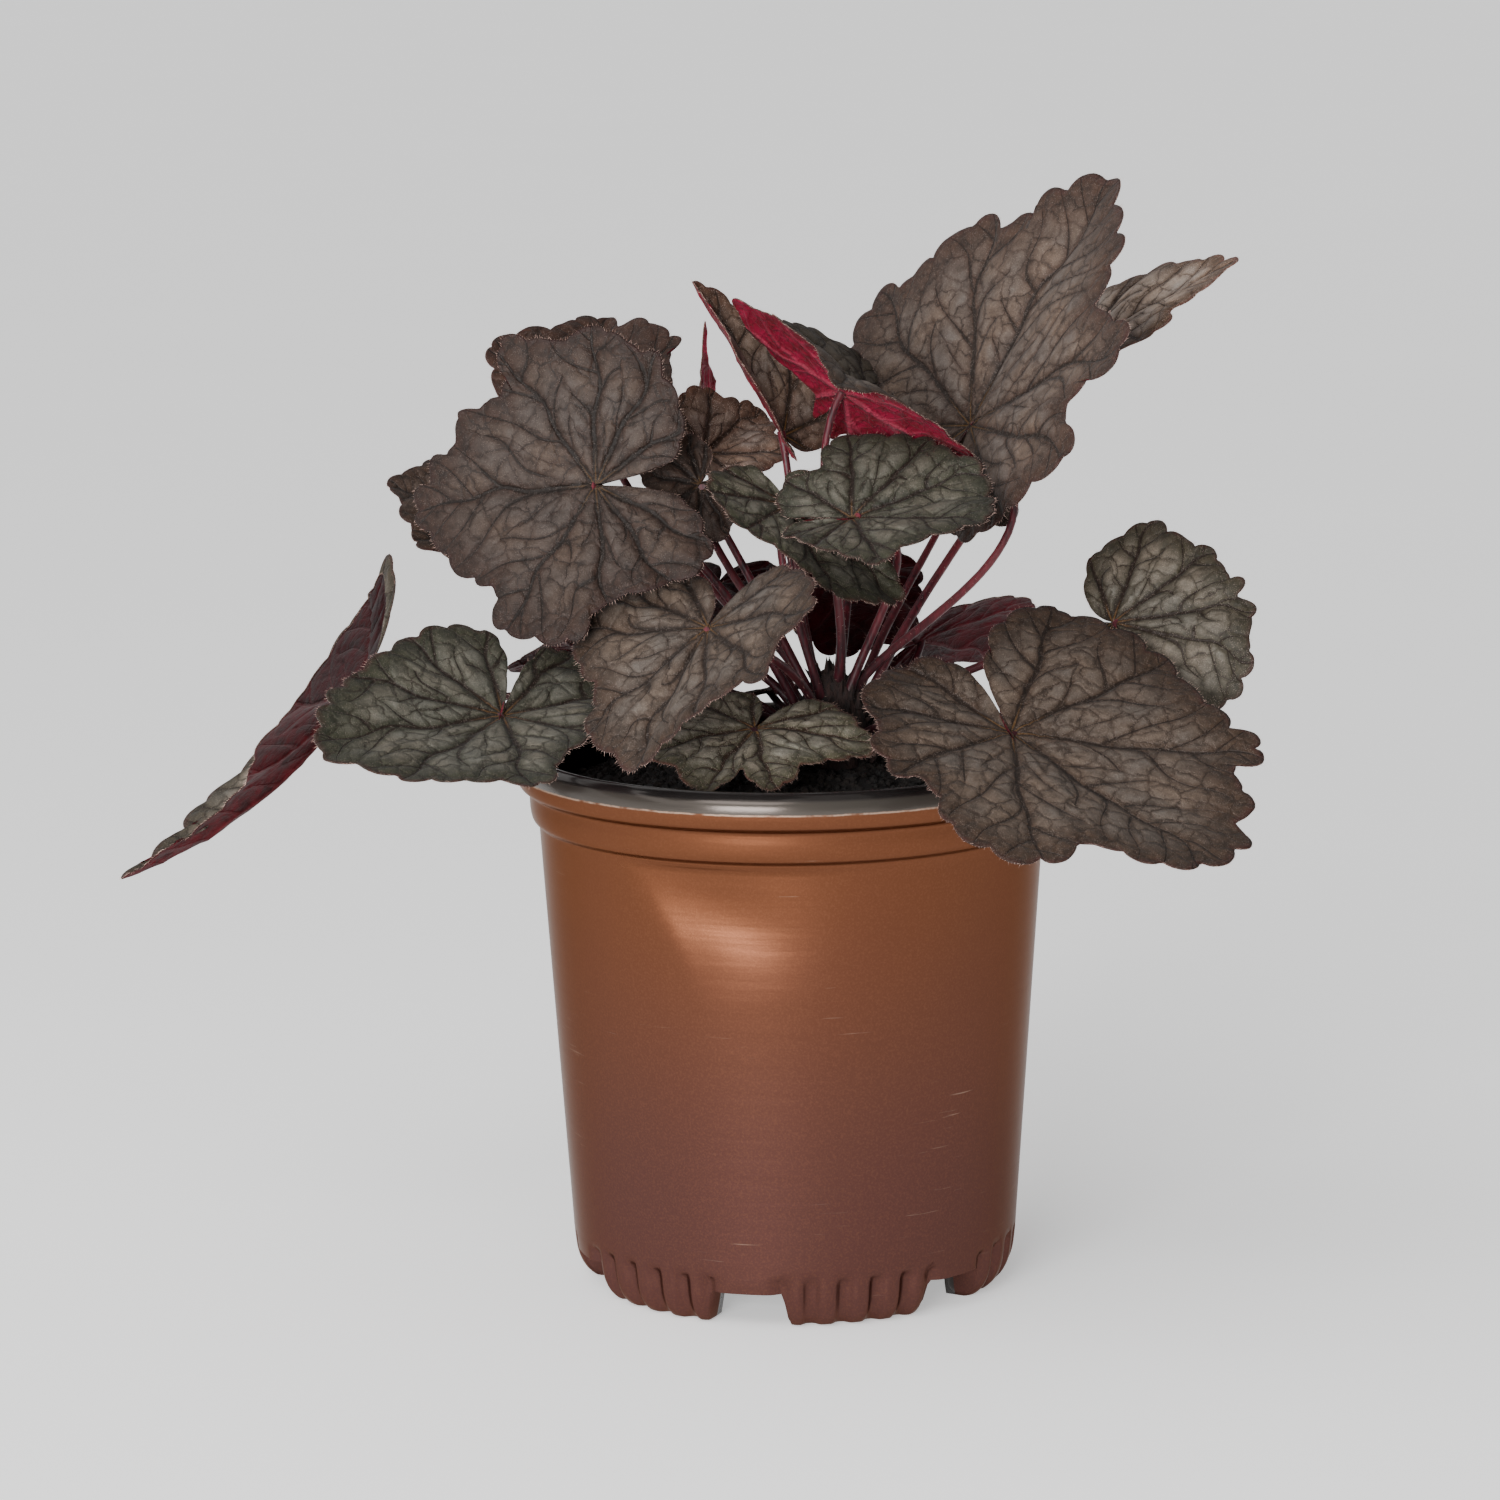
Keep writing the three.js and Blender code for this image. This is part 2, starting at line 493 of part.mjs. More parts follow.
// A flat blade point, in shares of the midrib, on the folded and curved blade.
function bladePoint(leaf, frame, flat) {
  const { along, left, normal, length } = frame;
  const u = flat[0] * length;
  const v = flat[1] * length;
  const share = Math.hypot(u, v) / length;
  const pleat = pleatAt(leaf, Math.atan2(v, u) / RAD);
  const lift = PLEAT * length * pleat * Math.min(share * PLEAT_GROWTH, 1);
  const fold = leaf.fold * RAD;
  const curve = (leaf.cup * RAD) / (CUP_SHARE * length);
  const out = Math.abs(v);
  let y = out * Math.cos(fold);
  let z = out * Math.sin(fold);
  if (Math.abs(curve) > 1e-7) {
    y = (Math.sin(fold) - Math.sin(fold - curve * out)) / curve;
    z = (Math.cos(fold - curve * out) - Math.cos(fold)) / curve;
  }
  const tilt = fold - curve * out;
  y -= lift * Math.sin(tilt);
  z += lift * Math.cos(tilt);
  y *= Math.sign(v);
  const turn = (leaf.twist * RAD * u) / length;
  const ys = y * Math.cos(turn) - z * Math.sin(turn);
  const zs = y * Math.sin(turn) + z * Math.cos(turn);
  const droop = leaf.droop * RAD;
  const bend = droop / length;
  const slope = droop / 2 - bend * u;
  let mx = u;
  let mz = 0;
  if (Math.abs(bend) > 1e-7) {
    mx = (Math.sin(droop / 2) - Math.sin(slope)) / bend;
    mz = (Math.cos(slope) - Math.cos(droop / 2)) / bend;
  }
  return vec(leaf.base)
    .addScaledVector(along, mx - zs * Math.sin(slope))
    .addScaledVector(left, ys)
    .addScaledVector(normal, mz + zs * Math.cos(slope));
}

// Triangles between an outer ring and an inner ring with one point for every "per".
function ringTriangles(outer, inner, per) {
  const triangles = [];
  const turnAt = (per - 1) >> 1;
  inner.forEach((p, i) => {
    const next = inner[(i + 1) % inner.length];
    for (let q = 0; q < per; q++) {
      const a = outer[(i * per + q) % outer.length];
      const b = outer[(i * per + q + 1) % outer.length];
      triangles.push([q <= turnAt ? p : next, a, b]);
      if (q === turnAt) triangles.push([p, b, next]);
    }
  });
  return triangles;
}

function flatBlade(leaf) {
  const { plain, toothed, centre } = bladeEdge(leaf);
  const towards = (p, share) => [
    centre[0] + (p[0] - centre[0]) * share,
    centre[1] + (p[1] - centre[1]) * share,
  ];
  const every = (list, step) => list.filter((_, i) => i % step === 0);
  const second = every(plain, RING_STEPS[0]).map((p) => towards(p, RING_SHARES[0]));
  const third = every(plain, RING_STEPS[1]).map((p) => towards(p, RING_SHARES[1]));
  const points = [...toothed, ...second, ...third, centre];
  const n = toothed.length;
  const outer = toothed.map((_, i) => i);
  const ring = second.map((_, i) => n + i);
  const core = third.map((_, i) => n + second.length + i);
  const middle = points.length - 1;
  const triangles = [
    ...ringTriangles(outer, ring, RING_STEPS[0]),
    ...ringTriangles(ring, core, RING_STEPS[1] / RING_STEPS[0]),
    ...core.map((p, i) => [middle, p, core[(i + 1) % core.length]]),
  ];
  return { points, triangles, outer };
}

// The closed blade: its upper skin, the same skin set down by the thickness and the rim.
function bladeGeometry(leaf) {
  const frame = leafFrame(leaf);
  const flat = flatBlade(leaf);
  const upper = flat.points.map((p) => bladePoint(leaf, frame, p));
  const normals = upper.map(() => new THREE.Vector3());
  for (const [a, b, c] of flat.triangles) {
    const ab = upper[b].clone().sub(upper[a]);
    const ac = upper[c].clone().sub(upper[a]);
    const cross = ab.cross(ac);
    for (const i of [a, b, c]) normals[i].add(cross);
  }
  const lower = upper.map((p, i) =>
    p.clone().addScaledVector(normals[i].normalize(), -BLADE_THICKNESS));
  const n = upper.length;
  const index = [];
  for (const [a, b, c] of flat.triangles) index.push(a, b, c, n + a, n + c, n + b);
  flat.outer.forEach((a, i) => {
    const b = flat.outer[(i + 1) % flat.outer.length];
    index.push(a, n + b, b, a, n + a, n + b);
  });
  return indexed([...upper, ...lower], index);
}

function indexed(points, index) {
  const geometry = new THREE.BufferGeometry().setFromPoints(points);
  geometry.setIndex(index);
  geometry.computeVertexNormals();
  return geometry;
}

// Where a petiole runs: from its row on the crown to just under the blade.
function petiolePath(leaf) {
  const frame = leafFrame(leaf);
  const [azimuth, row] = leaf.root;
  const [radius, z] = ROWS[row];
  const out = new THREE.Vector3(Math.cos(azimuth * RAD), Math.sin(azimuth * RAD), 0);
  const start = new THREE.Vector3(...CROWN_CENTRE, z).addScaledVector(out, radius);
  const [lifted, forward] = PETIOLE_ARRIVAL;
  const arrival = frame.normal.clone().multiplyScalar(lifted);
  arrival.addScaledVector(frame.along, forward);
  if (leaf.reach) arrival.copy(vec(leaf.reach)).negate();
  arrival.normalize();
  const tilt = Math.sqrt(Math.max(0, 1 - arrival.dot(frame.normal) ** 2));
  const drop = BLADE_THICKNESS + GAP + PETIOLE_SEAT + PETIOLE_RADIUS * tilt;
  const end = vec(leaf.base).addScaledVector(frame.normal, -drop);
  end.addScaledVector(frame.along, PETIOLE_FORWARD);
  const span = start.distanceTo(end);
  const first = start.clone().addScaledVector(out, span * PETIOLE_SPREAD);
  first.z += span * PETIOLE_RISE;
  if (leaf.rise) first.copy(start).add(vec(leaf.rise));
  const second = end.clone().addScaledVector(arrival, -span * PETIOLE_REACH);
  if (leaf.reach) second.copy(end).add(vec(leaf.reach));
  return new THREE.CubicBezierCurve3(start, first, second, end);
}

function petioleGeometry(leaf) {
  const corners = [];
  for (let k = 0; k < PETIOLE_SIDES; k++) {
    const angle = (2 * Math.PI * k) / PETIOLE_SIDES;
    corners.push(new THREE.Vector2(Math.cos(angle), Math.sin(angle)));
  }
  const section = new THREE.Shape(corners.map((p) => p.multiplyScalar(PETIOLE_RADIUS)));
  const steps = PETIOLE_STEPS;
  return new THREE.ExtrudeGeometry(section, { steps, extrudePath: petiolePath(leaf) });
}

// The plain hole in the crown that a petiole stands in.
function rootHole(leaf) {
  const [start, next] = petiolePath(leaf).getSpacedPoints(PETIOLE_STEPS);
  const along = next.clone().sub(start).normalize();
  const radius = PETIOLE_RADIUS + 2 * GAP;
  const hole = new THREE.CylinderGeometry(radius, radius, ROOT_HOLE_LENGTH, PETIOLE_SIDES);
  hole.translate(0, ROOT_HOLE_LENGTH / 2 - 2 * GAP, 0);
  hole.applyQuaternion(new THREE.Quaternion().setFromUnitVectors(THREE.Object3D.DEFAULT_UP, along));
  return solidOf(hole.translate(start.x, start.y, start.z));
}

function solidOf(geometry) {
  const bare = new THREE.BufferGeometry();
  bare.setAttribute("position", geometry.getAttribute("position"));
  bare.setIndex(geometry.index);
  const merged = mergeVertices(bare, 1e-3);
  return new Manifold(new Mesh({
    numProp: 3,
    vertProperties: merged.getAttribute("position").array,
    triVerts: new Uint32Array(merged.index.array),
  }));
}

function geometryOf(solid) {
  const mesh = solid.getMesh();
  const geometry = new THREE.BufferGeometry();
  geometry.setAttribute("position", new THREE.BufferAttribute(mesh.vertProperties, 3));
  geometry.setIndex(new THREE.BufferAttribute(mesh.triVerts, 1));
  geometry.computeVertexNormals();
  return geometry;
}

// A body turned about the Z axis from [radius, z] points that start and end on it.
function turned(profile, segments) {
  const points = profile.map(([r, z]) => new THREE.Vector2(r, z));
  return new THREE.LatheGeometry(points, segments).rotateX(Math.PI / 2);
}

function potOutside() {
  const wall = [...POT_FOOT, ...POT_BODY, ...POT_SHOULDER, ...POT_LIP];
  const [, top] = wall[wall.length - 1];
  return solidOf(turned([[0, 0], ...wall, [0, top]], POT_SEGMENTS));
}

function potInside() {
  const wall = [...POT_INSIDE_FOOT, ...[...POT_INSIDE].reverse()];
  const [mouth, top] = POT_LIP[POT_LIP.length - 1];
  const above = top + PAST;
  const profile = [[0, wall[0][1]], ...wall, [mouth, top], [mouth, above], [0, above]];
  return solidOf(turned(profile, POT_SEGMENTS));
}

function notchCutter(azimuth) {
  const half = POT_NOTCH_WIDTH / 2;
  const high = POT_NOTCH_HEIGHT;
  const corner = POT_NOTCH_CORNER;
  const flare = (POT_NOTCH_FLARE * (POT_NOTCH_FLARE_Z + PAST)) / POT_NOTCH_FLARE_Z;
  const corners = [
    [-half - flare, -PAST], [half + flare, -PAST], [half, POT_NOTCH_FLARE_Z],
    [half, high - corner], [half - corner, high], [corner - half, high],
    [-half, high - corner], [-half, POT_NOTCH_FLARE_Z],
  ];
  const shape = new THREE.Shape(corners.map((p) => new THREE.Vector2(...p)));
  const settings = { depth: POT_NOTCH_DEPTH, bevelEnabled: false };
  const block = new THREE.ExtrudeGeometry(shape, settings);
  block.rotateX(Math.PI / 2).rotateZ(Math.PI / 2).translate(POT_NOTCH_FROM, 0, 0);
  return solidOf(block.rotateZ(azimuth * RAD));
}

function grooveCutter(azimuth) {
  const groove = turned(POT_GROOVE, POT_GROOVE_SIDES).rotateY(POT_GROOVE_LEAN * RAD);
  groove.translate(POT_GROOVE_DISTANCE, 0, 0);
  return solidOf(groove.rotateZ(azimuth * RAD));
}

function potGeometry() {
  const recess = [
    [0, -PAST], [POT_RECESS_RADIUS, -PAST], [POT_RECESS_RADIUS, POT_RECESS_Z],
    [0, POT_RECESS_Z],
  ];
  const cutters = [potInside(), solidOf(turned(recess, POT_SEGMENTS / 2))];
  const pitch = 360 / POT_NOTCHES;
  for (let i = 0; i < POT_NOTCHES; i++) {
    const notch = POT_NOTCH_FIRST + i * pitch;
    cutters.push(notchCutter(notch));
    const middle = notch + pitch / 2 - ((POT_GROOVES - 1) / 2) * POT_GROOVE_PITCH;
    for (let k = 0; k < POT_GROOVES; k++) {
      cutters.push(grooveCutter(middle + k * POT_GROOVE_PITCH));
    }
  }
  return geometryOf(potOutside().subtract(Manifold.union(cutters)));
}

// Shallow dips and humps in the top of the growing mix.
function roughened(geometry) {
  const at = geometry.getAttribute("position");
  for (let i = 0; i < at.count; i++) {
    if (at.getZ(i) < MIX_MOUND[0][1]) continue;
    const [x, y, z] = [at.getX(i), at.getY(i), at.getZ(i)];
    const wave = Math.sin(x * MIX_WAVES[0] + 1) + Math.sin(y * MIX_WAVES[1] + x * MIX_WAVES[2]);
    at.setZ(i, z + MIX_ROUGHNESS * wave);
  }
  return geometry;
}

function mixGeometry() {
  const profile = [[0, MIX_SIDE[0][1]], ...MIX_SIDE, ...MIX_MOUND, [0, MIX_TOP_Z]];
  const body = solidOf(roughened(turned(profile, MIX_SEGMENTS)));
  const wide = CROWN_PROFILE[0][0] + 2 * GAP;
  const low = CROWN_FOOT_Z - GAP;
  const high = MIX_TOP_Z + PAST;
  const hole = turned([[0, low], [wide, low], [wide, high], [0, high]], CROWN_SIDES);
  return geometryOf(body.subtract(solidOf(hole.translate(...CROWN_CENTRE, 0))));
}

function crownGeometry() {
  const low = CROWN_FOOT_Z;
  const profile = [[0, low], [CROWN_FOOT_RADIUS, low], ...CROWN_PROFILE, [0, CROWN_TOP_Z]];
  const stump = solidOf(turned(profile, CROWN_SIDES).translate(...CROWN_CENTRE, 0));
  return geometryOf(stump.subtract(Manifold.union(LEAVES.map(rootHole))));
}

const group = new THREE.Group();
group.name = "potted_heucherella";
group.position.set(...POT_AXIS);

function add(name, geometry, colour, roughness) {
  const material = new THREE.MeshStandardMaterial({ color: colour, roughness });
  const mesh = new THREE.Mesh(geometry, material);
  mesh.name = name;
  group.add(mesh);
}

add("pot", potGeometry(), POT_COPPER, 0.4);
add("growing_mix", mixGeometry(), MIX_BROWN, 1);
add("crown", crownGeometry(), CROWN_BROWN, 0.9);
for (const leaf of LEAVES) {
  add(leaf.name + "_blade", bladeGeometry(leaf), leaf.colour, 0.7);
  add(leaf.name + "_petiole", petioleGeometry(leaf), PETIOLE_RED, 0.6);
}

export default group;
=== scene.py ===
"""Potted twilight heucherella: leaves, petioles, crown, growing mix and nursery pot."""
import json
import math

import bmesh
import bpy
import numpy as np
from mathutils import Matrix, Vector


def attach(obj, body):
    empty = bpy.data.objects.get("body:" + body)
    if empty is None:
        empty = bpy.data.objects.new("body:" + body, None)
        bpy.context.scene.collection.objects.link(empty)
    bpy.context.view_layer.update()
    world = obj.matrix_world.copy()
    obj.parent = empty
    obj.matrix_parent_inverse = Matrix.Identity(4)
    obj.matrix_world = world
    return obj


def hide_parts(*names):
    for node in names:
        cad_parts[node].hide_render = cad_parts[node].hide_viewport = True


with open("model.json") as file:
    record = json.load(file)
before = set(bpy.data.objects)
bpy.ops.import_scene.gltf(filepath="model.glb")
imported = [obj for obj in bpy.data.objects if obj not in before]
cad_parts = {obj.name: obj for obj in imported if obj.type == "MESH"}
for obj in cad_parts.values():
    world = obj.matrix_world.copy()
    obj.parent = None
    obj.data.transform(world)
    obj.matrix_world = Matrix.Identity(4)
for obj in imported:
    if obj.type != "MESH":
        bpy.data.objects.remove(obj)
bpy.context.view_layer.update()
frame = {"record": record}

bl_info = {
    "name": "Potted Heucherella",
    "version": (1, 0, 0),
    "blender": (4, 5, 0),
    "location": "View3D > Sidebar > Heucherella",
    "description": "Builds a potted heucherella with veined leaves on a fixed frame",
    "category": "Object",
}

BODY = "root"
MM = 0.001

# Where the pot's axis stands in the frame, in millimetres. Every size below is in
# millimetres from that axis and from the plane that the feet stand on.
POT_AXIS = (31.8, 15.5, 0.0)

# Pot: [radius, height] along the wall.
FOOT_PROFILE = [(62.0, 0), (64.2, 0.7), (67.0, 3.6), (68.9, 8), (69.8, 14), (70.3, 21)]
RING_PROFILE = [
    (78.85, 146), (79.0, 146.6), (79.7, 147.3), (80.7, 148.2), (81.25, 149.6), (81.55, 151.4),
    (81.7, 153.4), (81.72, 155.6),
]
SHOULDER_PROFILE = [
    (81.78, 156.5), (82.1, 157), (82.45, 157.35), (83.2, 157.8), (84.2, 158.4), (84.9, 159.2),
    (85.3, 160.3), (85.6, 161.6), (85.8, 163.4),
]
LIP_PROFILE = [(85.6, 165.6), (84.8, 167.5), (83.2, 168.9), (81.4, 169.4), (79.8, 169.1)]
INSIDE_PROFILE = [(79.0, 168.0), (78.6, 165.6), (79.5, 160.5), (79.6, 155), (78.2, 149.6), (76.9, 146)]
FLOOR_Z = 14
INSIDE_FLOOR = [(68.3, 22), (65.8, 16), (60, FLOOR_Z)]
FLOOR_RING = 30
POLE = 0.01
RECESS_RADIUS = 55.0
RECESS_Z = 11.5
FOOT_RING_RADIUS = 58
NOTCHES = 6
NOTCH_FIRST = -103.5
NOTCH_HALF_ANGLE = 9.3
NOTCH_EASE = 2.6
GROOVES = 4
GROOVE_PITCH = 8.6
GROOVE_HALF_ANGLE = 2.1
NOTCH_GROOVE_HALF_ANGLE = 2.2
NOTCH_GROOVE_SHARE = 0.9
GROOVE_DEPTH = 2.2
GROOVE_FADE_Z = (17.4, 14.6)
COAT_TOP_Z = 163.4
LIP_ROUGHNESS = 0.2

# The flattened patch in the front wall: it starts at a slanting crease, given as azimuths
# at heights, and is widest at its top.
CREASE_Z = [96, 116, 124, 136, 144, 147]
CREASE_ANGLE = [-108, -115, -119, -126.5, -131, -132]
CREASE_SOFTNESS = 1.5
DENT_WALL_RADIUS = 77
DENT_WIDTH_Z = [96, 120, 145]
DENT_WIDTH = [7, 13, 24]
DENT_START_Z = (100, 137)
DENT_END_Z = (146.3, 143.8)
FACET_CREASE_Z = (96, 146)
FACET_CREASE_ANGLE = (-106, -132)
FACET_WIDTH = 70
FACET_START_Z = (100, 139)
FACET_END_Z = 146.1

# Growing mix and crown.
MIX_EDGE_Z = 154.5
MIX_TOP_Z = 163.6
MIX_RADIUS = 77.0
CROWN_CENTRE = (13.0, 4.0)
CROWN_PROFILE = [(13.6, 158), (13.4, 164), (13.2, 168), (11.6, 175), (9.4, 182), (6.2, 189), (2.6, 192.4)]
ROWS = [(10.2, 168), (8.5, 175), (5.8, 181.5), (3.2, 187.5)]

# Blades and petioles.
BLADE_CORE = 0.7
GAP = 0.3
CUP_SHARE = 0.7
PLEAT = 0.02
PLEAT_MIDDLE = 0.6
PLEAT_GROWTH = 1.6
EDGE_STEPS = 2400
TOOTH_FADE = 0.07
TOOTH_ROUNDNESS = 0.62
TOOTH_MIDDLE = 0.68
BLADE_APEX = 0.012
BLADE_MIDDLE = 0.1
BRANCH_LEAN = 1.08
BRANCH_SPACING = 14.5
PETIOLE_RADIUS = 1.5
PETIOLE_SEAT = 0.25
PETIOLE_FORWARD = 1.5
PETIOLE_SPREAD = 0.14
PETIOLE_RISE = 0.3
PETIOLE_REACH = 0.28
PETIOLE_ARRIVAL = (0.8, 0.42)

# Cells in a millimetre of the leaf surface: the net of small veins, the lace inside it and
# the pale specks.
NET_SCALE = 0.135
LACE_SCALE = 0.4
SPECKLE_SCALE = 1.8

# Stage: shares of the sky's light from the left and the right, the sun above, and each
# panel's place, aim and size in metres.
SKY_LEFT, SKY_RIGHT = 2.25, 0.08
SUN_SPREAD = math.radians(75)
SUN_DIRECTION = (0.75, 0.45, -1.0)
FRONT_PANEL = ((-0.62, -1.9, 0.46), (0.03, 0.0, 0.15), (0.9, 0.7))
HIGH_PANEL = ((-0.4, -1.0, 1.15), (0.03, 0.0, 0.16), (0.8, 0.5))

# Outline of a plain blade as [degrees from the midrib, share of the midrib's length].
SEVEN_LOBES = [
  [-173, 0.1], [-160, 0.36], [-140, 0.54], [-118, 0.58], [-98, 0.72], [-76, 0.66],
  [-50, 0.86], [-27, 0.74], [0, 1], [27, 0.74], [50, 0.86], [76, 0.66], [98, 0.72],
  [118, 0.58], [140, 0.54], [160, 0.36], [173, 0.1],
]
SEVEN_RIBS = [-140, -98, -50, 0, 50, 98, 140]

